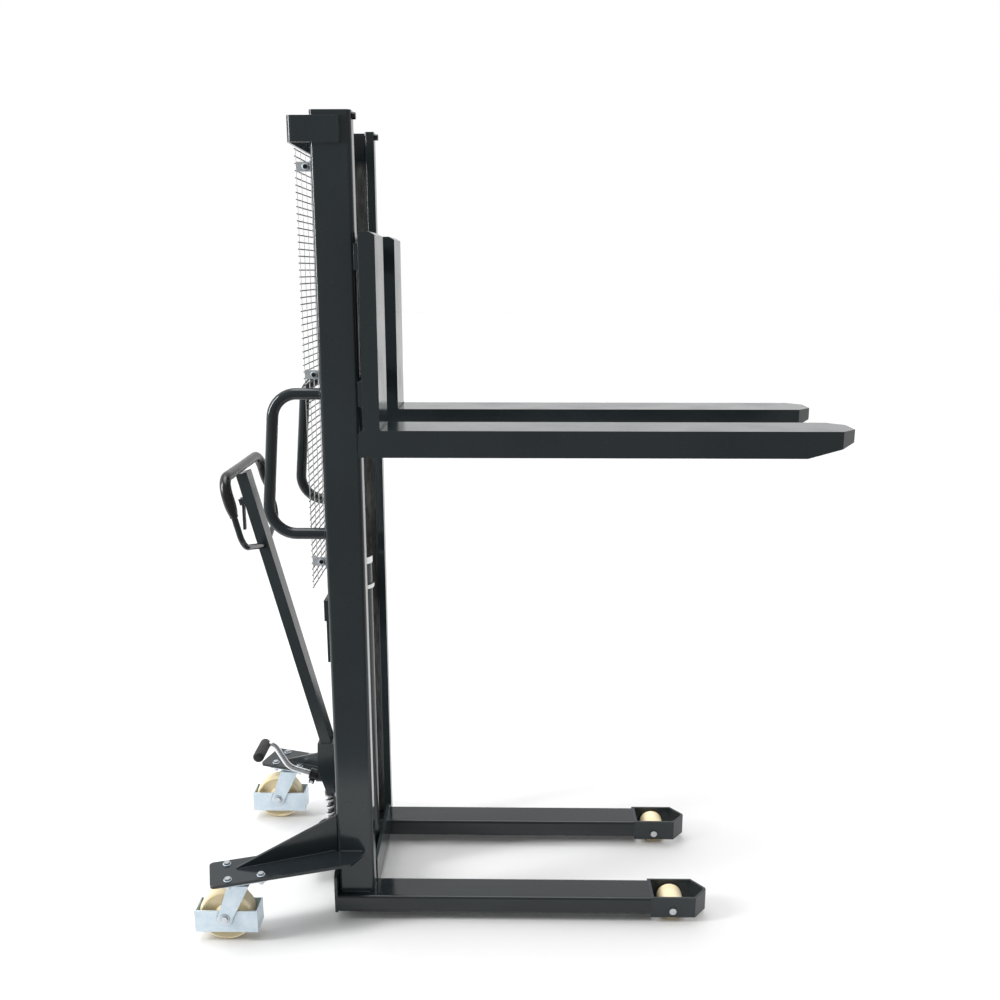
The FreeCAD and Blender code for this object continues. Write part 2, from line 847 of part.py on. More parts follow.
# Caster top plates and races, fixed under the outriggers.
caster_blank = padded("right_caster_blank", "XY_Plane", [
    splayed(-size.caster_plate_length / 2, -size.caster_plate_width / 2),
    splayed(size.caster_plate_length / 2, -size.caster_plate_width / 2),
    splayed(size.caster_plate_length / 2, size.caster_plate_width / 2),
    splayed(-size.caster_plate_length / 2, size.caster_plate_width / 2),
], caster_plate_low_z, outrigger_low_z)
race_low_z = caster_plate_low_z - size.caster_race_height
caster_race = disc("right_caster_race", "z", (caster_x, caster_y, race_low_z),
                   size.caster_race_radius, size.caster_race_height)
right_caster_plate = cut("right_caster_plate", fuse("right_caster_top", [caster_blank, caster_race]),
                         bolt_holes("right_top_hole", caster_plate_low_z, size.caster_plate))
keep(group("caster_plates", [right_caster_plate, mirror("left_caster_plate", right_caster_plate)]))


def caster_bolt(name, place_on_plate):
    u, v = place_on_plate
    nut_low_z = caster_plate_low_z - size.caster_bolt_nut_height
    shaft_low_z = nut_low_z - size.caster_bolt_tail
    shaft = disc(name + "_shaft", "z", (u, v, shaft_low_z), size.caster_bolt_radius,
                 size.outrigger_top_z - shaft_low_z)
    head = hexagon_bar(name + "_head", "z", (u, v, size.outrigger_top_z),
                       size.caster_bolt_head_radius, size.caster_bolt_head_height)
    nut = hexagon_bar(name + "_nut", "z", (u, v, nut_low_z),
                      size.caster_bolt_head_radius, size.caster_bolt_nut_height)
    return fuse(name, [shaft, head, nut])


right_bolts = []
for number, spot in enumerate(bolt_places, start=1):
    right_bolts.append(caster_bolt("caster_bolt_" + str(number), spot))
right_bolt_set = group("right_bolt_set", right_bolts)
keep(group("caster_bolts", [right_bolt_set, mirror("left_bolt_set", right_bolt_set)]))

# Caster forks: a crown under the race and two slanting legs outside the guard.
crown_top_z = race_low_z - size.caster_running_gap
crown_low_z = crown_top_z - size.caster_crown_height
caster_axle_x = caster_x - size.caster_trail
leg_face_y = size.guard_half_width + size.caster_leg_plate
fork_rows = [
    (caster_x + size.caster_crown_front, crown_top_z),
    (caster_x - size.caster_crown_rear, crown_top_z),
    (caster_axle_x - size.caster_leg_half_width, size.caster_wheel_radius),
    (caster_axle_x - size.caster_leg_half_width, size.caster_wheel_radius - size.caster_leg_half_width),
    (caster_axle_x + size.caster_leg_half_width, size.caster_wheel_radius - size.caster_leg_half_width),
    (caster_axle_x + size.caster_leg_half_width, size.caster_wheel_radius),
]
caster_fork_blank = padded("right_caster_blank_fork", "XZ_Plane", fork_rows,
                           caster_y - leg_face_y, caster_y + leg_face_y)
pocketed(caster_fork_blank, "right_caster_fork_slot", "XZ_Plane", [
    (caster_x + size.caster_crown_front * 2, crown_low_z),
    (caster_x - size.caster_crown_rear * 2 - size.caster_trail, crown_low_z),
    (caster_x - size.caster_crown_rear * 2 - size.caster_trail, zero),
    (caster_x + size.caster_crown_front * 2, zero),
], caster_y - size.guard_half_width, caster_y + size.guard_half_width)
fork_ends = []
for reach in (-size.caster_leg_half_width, size.caster_leg_half_width):
    fork_ends.append(FreeCAD.Vector((caster_axle_x + reach).value, 0,
                                    (size.caster_wheel_radius - size.caster_leg_half_width).value))
rounded(caster_fork_blank, "right_caster_fork_ends", across, fork_ends, size.caster_leg_corner)
fork_bore = disc("right_caster_fork_bore", "y",
                 (caster_axle_x, caster_y - leg_face_y, size.caster_wheel_radius),
                 size.caster_axle_radius, leg_face_y * 2)
right_caster_fork = keep(cut("right_caster_fork", caster_fork_blank, [fork_bore]))
keep(mirror("left_caster_fork", right_caster_fork))

# Guards: a plain rectangular band round each caster wheel.
guard_low_z = size.caster_wheel_radius - size.guard_low_drop
guard_range_z = (guard_low_z, guard_low_z + size.guard_height)
guard_box = block("right_guard_box",
                  (caster_axle_x - size.guard_rear_reach, caster_axle_x + size.guard_front_reach),
                  span(caster_y, size.guard_half_width), guard_range_z)
guard_hole = block("right_guard_hole",
                   (caster_axle_x - size.guard_rear_reach + size.guard_plate,
                    caster_axle_x + size.guard_front_reach - size.guard_plate),
                   span(caster_y, size.guard_half_width - size.guard_plate), guard_range_z)
guard_bore = disc("right_guard_bore", "y",
                  (caster_axle_x, caster_y - size.guard_half_width, size.caster_wheel_radius),
                  size.caster_axle_radius, size.guard_half_width * 2)
right_guard = keep(cut("right_caster_guard", guard_box, [guard_hole, guard_bore]))
keep(mirror("left_caster_guard", right_guard))


def caster_axle(side, sign):
    centre = size.caster_y * sign
    low = centre - leg_face_y
    shaft = disc(side + "_caster_shaft", "y", (caster_axle_x, low, size.caster_wheel_radius),
                 size.caster_axle_radius, leg_face_y * 2)
    heads = []
    for tag, start in (("low", low - size.caster_axle_head_height), ("high", centre + leg_face_y)):
        heads.append(hexagon_bar(side + "_caster_head_" + tag, "y",
                                 (caster_axle_x, start, size.caster_wheel_radius),
                                 size.caster_axle_head_radius, size.caster_axle_head_height))
    return fuse(side + "_caster_axle", [shaft] + heads)


keep(caster_axle("right", -1))
keep(caster_axle("left", 1))

# Caster wheels, dished on both sides.
wheel_half = size.caster_wheel_width / 2
hub_half = size.guard_half_width - size.guard_plate - size.caster_hub_gap
wheel_profile = [
    (-hub_half, size.caster_wheel_bore),
    (-hub_half, size.caster_wheel_hub_radius),
    (-wheel_half + size.caster_wheel_dish, size.caster_wheel_hub_radius + size.caster_wheel_dish),
    (-wheel_half + size.caster_wheel_dish, size.caster_wheel_dish_radius),
    (-wheel_half, size.caster_wheel_dish_radius + size.caster_wheel_dish),
    (-wheel_half + size.caster_wheel_edge * quarter_share,
     size.caster_wheel_radius - size.caster_wheel_edge * quarter_share),
    (-wheel_half + size.caster_wheel_edge, size.caster_wheel_radius),
    (wheel_half - size.caster_wheel_edge, size.caster_wheel_radius),
    (wheel_half - size.caster_wheel_edge * quarter_share,
     size.caster_wheel_radius - size.caster_wheel_edge * quarter_share),
    (wheel_half, size.caster_wheel_dish_radius + size.caster_wheel_dish),
    (wheel_half - size.caster_wheel_dish, size.caster_wheel_dish_radius),
    (wheel_half - size.caster_wheel_dish, size.caster_wheel_hub_radius + size.caster_wheel_dish),
    (hub_half, size.caster_wheel_hub_radius),
    (hub_half, size.caster_wheel_bore),
]
for side, sign in (("right", -1), ("left", 1)):
    keep(turned(side + "_caster_wheel", wheel_profile,
                (caster_axle_x, size.caster_y * sign, size.caster_wheel_radius)))

# Grab handles: bent tubes welded to the backs of the columns.
handle_y = -outer_y + size.column_width / 2


def handle_point(reach, height):
    return FreeCAD.Vector((rear_x - reach).value, handle_y.value, height.value)


handle_wire = bent_wire([
    handle_point(zero, size.handle_top_z),
    handle_point(size.handle_top_reach, size.handle_top_z),
    handle_point(size.handle_bottom_reach, size.handle_bottom_z),
    handle_point(zero, size.handle_bottom_z),
], [size.handle_bend_radius.value, size.handle_lower_bend_radius.value])
right_handle = feature("right_grab_handle", tube_solid(
    handle_wire, size.handle_tube_radius.value,
    (size.handle_tube_radius - size.handle_tube_wall).value))
keep(group("grab_handles", [right_handle, mirror("left_grab_handle", right_handle)]))

# Mesh guard: one flat holed sheet behind the columns.
mesh_x = rear_x - size.mesh_gap_x


def flat_net():
    wire_width = size.mesh_wire.value
    low = size.mesh_low_z.value
    high = size.mesh_top_z.value
    half = size.mesh_half_width.value
    x_face = (mesh_x - size.mesh_wire / 2).value

    def frame(y_low, y_high, z_low, z_high):
        corners = [(y_low, z_low), (y_high, z_low), (y_high, z_high), (y_low, z_high), (y_low, z_low)]
        return Part.makePolygon([FreeCAD.Vector(x_face, y, z) for y, z in corners])

    column_pitch = (2 * half - wire_width) / mesh_columns
    row_pitch = (high - low - wire_width) / mesh_rows
    wires = [frame(-half, half, low, high)]
    for column in range(mesh_columns):
        for row in range(mesh_rows):
            y_low = -half + wire_width + column * column_pitch
            z_low = low + wire_width + row * row_pitch
            wires.append(frame(y_low, y_low + column_pitch - wire_width,
                               z_low, z_low + row_pitch - wire_width))
    face = Part.makeFace(wires, "Part::FaceMakerBullseye")
    return face.extrude(FreeCAD.Vector(wire_width, 0, 0))


keep(feature("mesh_guard", flat_net()))

# Clips hold the mesh off the columns, each with one screw.
mesh_front_x = mesh_x + size.mesh_wire / 2
clips = []
screws = []
for level, height in (("low", size.clip_low_z), ("mid", size.clip_mid_z), ("top", size.clip_top_z)):
    clip_z = span(height, size.clip_height / 2)
    clip_foot = block("clip_foot_" + level, (rear_x - size.clip_plate, rear_x),
                      (-inner_y - size.clip_width, -inner_y), clip_z)
    clip_arm = block("clip_arm_" + level, (mesh_front_x, rear_x),
                     (-inner_y, -inner_y + size.clip_plate), clip_z)
    clip_tab = block("clip_tab_" + level, (mesh_front_x, mesh_front_x + size.clip_plate),
                     (-inner_y, -inner_y + size.clip_width), clip_z)
    clips.append(fuse("clip_" + level, [clip_foot, clip_arm, clip_tab]))
    screws.append(hexagon_bar("clip_screw_" + level, "x",
                              (rear_x - size.clip_plate - size.clip_screw_head_height,
                               -inner_y - size.clip_width / 2, height),
                              size.clip_screw_head_radius, size.clip_screw_head_height))
right_clips = group("right_clips", clips)
keep(group("mesh_clips", [right_clips, mirror("left_clips", right_clips)]))
right_screws = group("right_screws", screws)

# Stop bolts stand out of the front flanges near the mast top.
stop_z = size.mast_top_z - size.stop_bolt_drop
right_stop = hexagon_bar("right_stop_bolt", "x", (front_x, handle_y, stop_z),
                         size.stop_bolt_head_radius, size.stop_bolt_head_height)
keep(group("mast_bolts", [right_screws, mirror("left_screws", right_screws),
                          right_stop, mirror("left_stop_bolt", right_stop)]))

# Lift cylinder on the mast's middle plane.
cylinder_x = front_x - size.cylinder_setback
cylinder_body = disc("cylinder_body", "z", (cylinder_x, zero, size.leg_top_z),
                     size.cylinder_radius, size.cylinder_top_z - size.leg_top_z)
cylinder_floor_z = size.leg_top_z + size.floor_plate_thickness
cylinder_bore = disc("cylinder_bore", "z", (cylinder_x, zero, cylinder_floor_z),
                     size.cylinder_bore_radius, size.cylinder_top_z - cylinder_floor_z)
keep(cut("lift_cylinder", cylinder_body, [cylinder_bore]))
gland_body = disc("gland_body", "z", (cylinder_x, zero, size.cylinder_top_z),
                  size.gland_radius, size.gland_height)
gland_bore = disc("gland_bore", "z", (cylinder_x, zero, size.cylinder_top_z),
                  size.gland_bore_radius, size.gland_height)
keep(cut("cylinder_gland", gland_body, [gland_bore]))

# Clamp that ties the cylinder back to the middle beam.
clamp_range_z = span(size.clamp_z, size.clamp_height / 2)
clamp_ring = disc("clamp_ring", "z", (cylinder_x, zero, clamp_range_z[0]),
                  size.cylinder_radius + size.clamp_strap, size.clamp_height)
clamp_ears = block("clamp_ears", (rear_x, cylinder_x),
                   span(zero, size.cylinder_radius + size.clamp_strap), clamp_range_z)
clamp_bore = disc("clamp_bore", "z", (cylinder_x, zero, clamp_range_z[0]),
                  size.cylinder_radius, size.clamp_height)
anchor_half = size.frame_anchor_half_width
clamp_notch = block("clamp_notch", (rear_x, cylinder_x),
                    span(zero, anchor_half + size.frame_anchor_side_gap), clamp_range_z)
clamp_blank = cut("clamp_blank", fuse("clamp_whole", [clamp_ring, clamp_ears]), [clamp_bore])
keep(cut("cylinder_clamp", clamp_blank, [clamp_notch]))

# The middle beam carries a lug that holds the chain's fixed end.
chain_reach = size.pulley_groove_radius + size.chain_groove_gap + size.chain_thickness / 2
fixed_chain_x = cylinder_x - chain_reach
lift_chain_x = cylinder_x + chain_reach
chain_lug = block("chain_lug", (rear_x, fixed_chain_x + size.chain_thickness / 2),
                  span(zero, anchor_half), (size.frame_anchor_low_z, size.frame_anchor_top_z))
keep(fuse("middle_beam", [middle_beam_bar, chain_lug]))

# Piston rod, pulley yoke, pin and chain wheel rise with the lift.
yoke_low_z = size.pulley_z - size.yoke_drop
rod_shaft = disc("rod_shaft", "z", (cylinder_x, zero, size.rod_foot_z),
                 size.rod_radius, yoke_low_z - size.rod_foot_z)
rod_piston = disc("rod_piston", "z", (cylinder_x, zero, size.rod_foot_z),
                  size.piston_radius, size.piston_height)
keep(fuse("piston_rod", [rod_shaft, rod_piston]))
yoke_base = block("yoke_base", span(cylinder_x, size.yoke_half_depth),
                  span(zero, size.yoke_half_width),
                  (yoke_low_z, yoke_low_z + size.yoke_base_height))
yoke_cheeks = []
yoke_top_z = size.pulley_z + size.yoke_half_depth
for tag, low, high in (("right", -size.yoke_half_width, -size.yoke_half_width + size.yoke_plate),
                       ("left", size.yoke_half_width - size.yoke_plate, size.yoke_half_width)):
    yoke_cheeks.append(block("yoke_cheek_" + tag, span(cylinder_x, size.yoke_half_depth),
                             (low, high), (yoke_low_z, yoke_top_z)))
yoke_bore = disc("yoke_bore", "y", (cylinder_x, -size.yoke_half_width, size.pulley_z),
                 size.pulley_pin_radius, size.yoke_half_width * 2)
keep(cut("pulley_yoke", fuse("yoke_whole", [yoke_base] + yoke_cheeks), [yoke_bore]))
pin_shaft = disc("pin_shaft", "y", (cylinder_x, -size.yoke_half_width, size.pulley_z),
                 size.pulley_pin_radius, size.yoke_half_width * 2)
pin_heads = []
for tag, start in (("low", -size.yoke_half_width - size.pulley_pin_head_height),
                   ("high", size.yoke_half_width)):
    pin_heads.append(disc("pin_head_" + tag, "y", (cylinder_x, start, size.pulley_z),
                          size.pulley_pin_head_radius, size.pulley_pin_head_height))
keep(fuse("pulley_pin", [pin_shaft] + pin_heads))
pulley_half = size.pulley_width / 2
groove_half = pulley_half - size.pulley_flange
keep(turned("chain_wheel", [
    (-pulley_half, size.pulley_bore),
    (-pulley_half, size.pulley_flange_radius),
    (-groove_half, size.pulley_flange_radius),
    (-groove_half, size.pulley_groove_radius),
    (groove_half, size.pulley_groove_radius),
    (groove_half, size.pulley_flange_radius),
    (pulley_half, size.pulley_flange_radius),
    (pulley_half, size.pulley_bore),
], (cylinder_x, zero, size.pulley_z)))

# Chain: a strand on each side of the wheel and a bend over the top of it.
strand_y = span(zero, size.chain_width / 2)
keep(block("fixed_chain_strand", span(fixed_chain_x, size.chain_thickness / 2), strand_y,
           (size.frame_anchor_top_z, size.pulley_z)))
keep(block("lift_chain_strand", span(lift_chain_x, size.chain_thickness / 2), strand_y,
           (size.carriage_anchor_top_z, size.pulley_z)))
bend_low = size.pulley_groove_radius + size.chain_groove_gap
bend_outer = disc("bend_outer", "y", (cylinder_x, strand_y[0], size.pulley_z),
                  bend_low + size.chain_thickness, size.chain_width)
bend_inner = disc("bend_inner", "y", (cylinder_x, strand_y[0], size.pulley_z),
                  bend_low, size.chain_width)
bend_room = block("bend_room", span(cylinder_x, bend_low + size.chain_thickness), strand_y,
                  (size.pulley_z - bend_low - size.chain_thickness, size.pulley_z))
keep(cut("chain_bend", bend_outer, [bend_inner, bend_room]))

# Forks: folded channels, open below and behind, each with its upright shank.
shank_front_x = front_x + size.fork_heel_x
shank_rear_x = shank_front_x - size.shank_depth
fork_low_z = size.fork_top_z - size.fork_height
fork_tip_x = shank_front_x + size.fork_length
fork_inner_y = size.fork_outer_y - size.fork_width
wing_x = shank_rear_x - size.heel_wing
wing_z = size.fork_top_z - size.heel_wing_drop
right_fork = padded("right_fork", "XZ_Plane", [
    (wing_x, fork_low_z),
    (wing_x, wing_z),
    (shank_rear_x, wing_z + size.heel_wing_slope),
    (shank_rear_x, size.shank_top_z),
    (shank_front_x - size.shank_top_chamfer_run, size.shank_top_z),
    (shank_front_x, size.shank_top_z - size.shank_top_chamfer_drop),
    (shank_front_x, size.fork_top_z),
    (fork_tip_x, size.fork_top_z),
    (fork_tip_x, size.fork_top_z - size.fork_tip_height),
    (fork_tip_x - size.fork_taper_length, fork_low_z),
], -size.fork_outer_y, -fork_inner_y)
hollow_front_x = fork_tip_x - size.fork_tip_chamfer - size.fork_tip_wall
pocketed(right_fork, "right_fork_hollow", "XZ_Plane", [
    (wing_x - size.heel_wing, fork_low_z - size.fork_wall),
    (wing_x - size.heel_wing, size.shank_top_z - size.shank_top_chamfer_drop - size.fork_wall),
    (shank_front_x - size.fork_wall, size.shank_top_z - size.shank_top_chamfer_drop - size.fork_wall),
    (shank_front_x - size.fork_wall, size.fork_top_z - size.fork_wall),
    (hollow_front_x, size.fork_top_z - size.fork_wall),
    (hollow_front_x, fork_low_z - size.fork_wall),
], -size.fork_outer_y + size.fork_wall, -fork_inner_y - size.fork_wall)
for tag, edge_y, way in (("outer", -size.fork_outer_y, 1), ("inner", -fork_inner_y, -1)):
    pocketed(right_fork, "right_fork_nose_" + tag, "XY_Plane", [
        (fork_tip_x - size.fork_tip_chamfer, edge_y),
        (fork_tip_x + size.fork_tip_wall, edge_y),
        (fork_tip_x + size.fork_tip_wall, edge_y + size.fork_tip_chamfer * way),
        (fork_tip_x, edge_y + size.fork_tip_chamfer * way),
    ], fork_low_z, size.fork_top_z)
keep(right_fork)
keep(mirror("left_fork", right_fork))

# Carriage: two cross bars behind the shanks, the lower one with a lug for the lifting
# end of the chain, and two side plates between the columns.
bar_front_x = shank_rear_x
bar_rear_x = bar_front_x - size.carriage_bar_plate
bar_y = span(zero, size.carriage_bar_half_width)
bars = []
for tag, low in (("lower", size.lower_bar_low_z), ("upper", size.upper_bar_low_z)):
    bars.append(block("carriage_" + tag + "_blank", (bar_rear_x, bar_front_x), bar_y,
                      (low, low + size.carriage_bar_height)))
carriage_lug = block("carriage_lug", (lift_chain_x - size.chain_thickness / 2, bar_rear_x),
                     span(zero, size.carriage_anchor_half_width),
                     (size.carriage_anchor_low_z, size.carriage_anchor_top_z))
keep(group("carriage_bars", [fuse("carriage_lower_bar", [bars[0], carriage_lug]), bars[1]]))
side_rear_x = bar_rear_x - size.side_plate_rear_reach
side_outer_y = size.side_plate_inner_y + size.side_plate
roller_x = (rear_x + front_x) / 2
side_blank = block("right_side_blank", (side_rear_x, bar_rear_x),
                   (-side_outer_y, -size.side_plate_inner_y),
                   (size.lower_bar_low_z, size.upper_bar_low_z + size.carriage_bar_height))
side_bores = []
for tag, height in (("low", size.roller_low_z), ("high", size.roller_high_z)):
    side_bores.append(disc("side_bore_" + tag, "y", (roller_x, -side_outer_y, height),
                           size.roller_axle_radius, size.side_plate))
right_side_plate = cut("right_side_plate", side_blank, side_bores)
keep(group("carriage_side_plates", [right_side_plate, mirror("left_side_plate", right_side_plate)]))

# Mast rollers run inside the channels on stub axles.
channel_inner_y = outer_y - size.column_web
roller_outer_y = channel_inner_y - size.roller_web_gap
roller_centre_y = roller_outer_y - size.roller_width / 2
channel_depth = size.column_depth - size.column_flange * 2
roller_radius = channel_depth / 2 - size.roller_side_gap
mast_half = size.roller_width / 2
mast_roller_profile = [
    (-mast_half, size.roller_bore),
    (-mast_half, size.roller_recess_radius),
    (-mast_half, roller_radius - size.roller_recess),
    (-mast_half + size.roller_recess, roller_radius),
    (mast_half - size.roller_recess, roller_radius),
    (mast_half, roller_radius - size.roller_recess),
    (mast_half, size.roller_recess_radius),
    (mast_half, size.roller_bore),
]
for side, sign in (("right", -1), ("left", 1)):
    for tag, height in (("lower", size.roller_low_z), ("upper", size.roller_high_z)):
        keep(turned(side + "_" + tag + "_mast_roller", mast_roller_profile,
                    (roller_x, roller_centre_y * sign, height)))


def roller_axle(tag, height):
    inner = size.side_plate_inner_y
    shaft = disc("axle_shaft_" + tag, "y", (roller_x, -roller_outer_y, height),
                 size.roller_axle_radius, roller_outer_y - inner)
    flange = disc("axle_flange_" + tag, "y", (roller_x, -inner, height),
                  size.roller_axle_flange_radius, size.roller_axle_flange)
    return fuse("roller_axle_" + tag, [shaft, flange])


right_axles = group("right_axles", [roller_axle("low", size.roller_low_z),
                                    roller_axle("high", size.roller_high_z)])
keep(group("mast_roller_axles", [right_axles, mirror("left_axles", right_axles)]))

# Pump on its shelf behind the mast, with two ears for the rocker pivot.
pump_x = front_x - size.pump_setback
pump_barrel = disc("pump_barrel", "z", (pump_x, zero, size.leg_top_z),
                   size.pump_radius, size.pump_top_z - size.leg_top_z)
pump_collar = disc("pump_collar", "z", (pump_x, zero, size.leg_top_z),
                   size.pump_collar_radius, size.pump_collar_top_z - size.leg_top_z)
bore_low_z = size.piston_foot_z - size.plunger_stroke_room
pump_bore = disc("pump_bore", "z", (pump_x, zero, bore_low_z), size.pump_bore_radius,
                 size.pump_collar_top_z - bore_low_z)
pivot_x = front_x - size.pivot_setback
ear_outer_y = size.pump_ear_half_gap + size.pump_ear_plate
ear_range_z = (size.pump_top_z, size.pivot_z + size.pump_ear_top_rise)
pump_ears = []
for tag, low, high in (("right", -ear_outer_y, -size.pump_ear_half_gap),
                       ("left", size.pump_ear_half_gap, ear_outer_y)):
    pump_ears.append(block("pump_ear_" + tag, span(pivot_x, size.pump_ear_half_length),
                           (low, high), ear_range_z))
ear_bore = disc("pump_ear_bore", "y", (pivot_x, -ear_outer_y, size.pivot_z),
                size.pivot_pin_radius, ear_outer_y * 2)
keep(cut("pump_body", fuse("pump_whole", [pump_barrel, pump_collar] + pump_ears), [pump_bore, ear_bore]))
pivot_end = ear_outer_y + size.pivot_pin_overhang
keep(disc("rocker_pivot_pin", "y", (pivot_x, -pivot_end, size.pivot_z),
          size.pivot_pin_radius, pivot_end * 2))

# Pump plunger and its return spring.
plunger_cap_z = size.plunger_top_z - size.plunger_cap_height
plunger_shaft = disc("plunger_shaft", "z", (pump_x, zero, size.piston_foot_z),
                     size.plunger_radius, size.plunger_top_z - size.piston_foot_z)
plunger_cap = disc("plunger_cap", "z", (pump_x, zero, plunger_cap_z),
                   size.plunger_cap_radius, size.plunger_cap_height)
keep(fuse("pump_plunger", [plunger_shaft, plunger_cap]))


def coil_spring():
    """One unbroken tube on half-turn arcs between the collar and the cap."""
    wire_radius = size.spring_wire_radius.value
    coil_radius = size.spring_coil_radius.value
    gap = size.spring_end_gap.value
    low = size.pump_collar_top_z.value + wire_radius + gap
    high = plunger_cap_z.value - wire_radius - gap
    steps = 4 * spring_turns
    rise = (high - low) / steps

    def on_coil(step):
        angle = math.pi / 2 * step
        return FreeCAD.Vector(pump_x.value + coil_radius * math.cos(angle),
                              coil_radius * math.sin(angle), low + rise * step)

    def slope(step):
        angle = math.pi / 2 * step
        return FreeCAD.Vector(-coil_radius * math.sin(angle) * math.pi / 2,
                              coil_radius * math.cos(angle) * math.pi / 2, rise).normalize()

    edges = []
    for step in range(steps):
        edges.extend(biarc(on_coil(step), slope(step), on_coil(step + 1), slope(step + 1)))
    path = Part.Wire(edges)
    ring = Part.Wire([Part.makeCircle(wire_radius, on_coil(0), slope(0))])
    print("spring least gap", round(least_coil_gap(edges) - 2 * wire_radius, 3))
    return path.makePipeShell([ring], True, False)


def least_coil_gap(edges):
    """The least distance between points of the wire that lie at least half a turn apart."""
    spots = []
    for edge in edges:
        spots.extend(edge.discretize(edge_point_count))
    apart = edge_point_count * len(edges) // (2 * spring_turns)
    least = None
    for first in range(0, len(spots) - apart):
        for second in range(first + apart, len(spots)):
            distance = spots[first].distanceToPoint(spots[second])
            if least is None or distance < least:
                least = distance
    return least


def biarc(start, start_way, end, end_way):
    """Two arcs that leave one point and reach another along given directions."""
    chord = end - start
    total = start_way + end_way
    quad = 2 * (1 - start_way.dot(end_way))
    linear = chord.dot(total)
    length_square = chord.dot(chord)
    reach = (-linear + math.sqrt(linear * linear + quad * length_square)) / quad
    first_knee = start + start_way * reach
    last_knee = end - end_way * reach
    joint = (first_knee + last_knee) * half_share
    return [arc_from(start, start_way, joint), arc_from(joint, (last_knee - first_knee).normalize(), end)]


half_share = 0.5


def arc_from(start, way, end):
    """The arc that leaves start along way and passes through end."""
    chord = end - start
    normal = way.cross(chord).normalize()
    inward = normal.cross(way)
    radius = chord.dot(chord) / (2 * chord.dot(inward))
    centre = start + inward * radius
    half_chord = (start + end) * half_share
    middle = centre + (half_chord - centre).normalize() * radius
    return Part.Arc(start, middle, end).toShape()


keep(feature("pump_spring", coil_spring()))

# Rocker: the pivoted block that carries the tiller and presses the plunger.
nose_z = size.plunger_top_z + size.rocker_nose_radius
rocker_blank = padded("rocker_blank", "XZ_Plane", [
    (pivot_x + size.rocker_boss_radius, size.pivot_z),
    (front_x - size.rocker_socket_front_setback, size.rocker_socket_low_z),
    (front_x - size.rocker_top_front_setback, size.rocker_top_z),
    (front_x - size.rocker_top_rear_setback, size.rocker_top_z),
    (front_x - size.rocker_socket_rear_setback, size.rocker_socket_low_z),
    (pump_x - size.rocker_nose_radius, nose_z + size.rocker_nose_radius),
    (pump_x, nose_z),
    (pivot_x - size.rocker_nose_radius, nose_z),
], -size.rocker_half_width, size.rocker_half_width)
rocker_boss = disc("rocker_boss", "y", (pivot_x, -size.rocker_half_width, size.pivot_z),
                   size.rocker_boss_radius, size.rocker_half_width * 2)
rocker_nose = disc("rocker_nose", "y",
                   (pump_x, -size.rocker_half_width, nose_z),
                   size.rocker_nose_radius - size.spring_end_gap, size.rocker_half_width * 2)
rocker_bore = disc("rocker_bore", "y", (pivot_x, -size.rocker_half_width, size.pivot_z),
                   size.pivot_bore_radius, size.rocker_half_width * 2)
tiller_foot_x = front_x - size.tiller_foot_setback
lean_sine = sine(size.tiller_lean)
lean_cosine = cosine(size.tiller_lean)


def leaned(item):
    item.Placement.Rotation = FreeCAD.Rotation(-across, size.tiller_lean.value)
    item.setExpression("Placement.Rotation.Angle", size.tiller_lean.text + " * 1 deg")
    return item


def tiller_spot(ahead, height):
    """A spot on the tiller's middle plane: ahead of and up along its axis."""
    return (tiller_foot_x + ahead * lean_cosine - height * lean_sine,
            zero,
            size.tiller_foot_z + ahead * lean_sine + height * lean_cosine)


def leaned_block(name, ahead_range, side_range, height_range):
    item = document.addObject("Part::Box", name)
    for field, (low, high) in (("Length", ahead_range), ("Width", side_range), ("Height", height_range)):
        bind(item, field, high - low)
    leaned(item)
    x, y, z = tiller_spot(ahead_range[0], height_range[0])
    place(item, x, side_range[0], z)
    return item


socket_room = leaned_block("socket_room", span(zero, size.tiller_tube_depth / 2),
                           span(zero, size.tiller_tube_width / 2), (zero, size.tiller_tube_length))


def pedal_point(setback, height):
    return FreeCAD.Vector((front_x - setback).value, 0, height.value)


pedal_wire = bent_wire([
    pedal_point(size.pedal_root_setback, size.pedal_root_z),
    pedal_point(size.pedal_knee_setback, size.pedal_knee_z),
    pedal_point(size.pedal_rise_setback, size.pedal_rise_z),
    pedal_point(size.pedal_x_setback, size.pedal_z),
], [size.pedal_bend_radius.value * 2, size.pedal_bend_radius.value])
pedal_room = feature("pedal_room", tube_solid(pedal_wire, size.pedal_bar_radius.value))
pedal_boss = disc("pedal_boss", "x", (front_x - size.pedal_root_setback - size.pedal_boss_length / 2,
                                      zero, size.pedal_root_z), size.pedal_boss_radius,
                  size.pedal_boss_length)
rocker_whole = fuse("rocker_whole", [rocker_blank, rocker_boss, rocker_nose, pedal_boss])
keep(cut("rocker", rocker_whole, [rocker_bore, socket_room, pedal_room]))

# Tiller tube and the loop handle at its top.
tube_outer = leaned_block("tiller_tube_outer", span(zero, size.tiller_tube_depth / 2),
                          span(zero, size.tiller_tube_width / 2), (zero, size.tiller_tube_length))
tube_inner = leaned_block("tiller_tube_inner",
                          span(zero, size.tiller_tube_depth / 2 - size.tiller_tube_wall),
                          span(zero, size.tiller_tube_width / 2 - size.tiller_tube_wall),
                          (zero, size.tiller_tube_length - size.tiller_tube_wall))
tube_cut = cut("tiller_tube", tube_outer, [tube_inner])
keep(tube_cut)


def loop_point(side, height):
    x, y, z = tiller_spot(zero, size.tiller_tube_length + height)
    return FreeCAD.Vector(x.value, side.value, z.value)


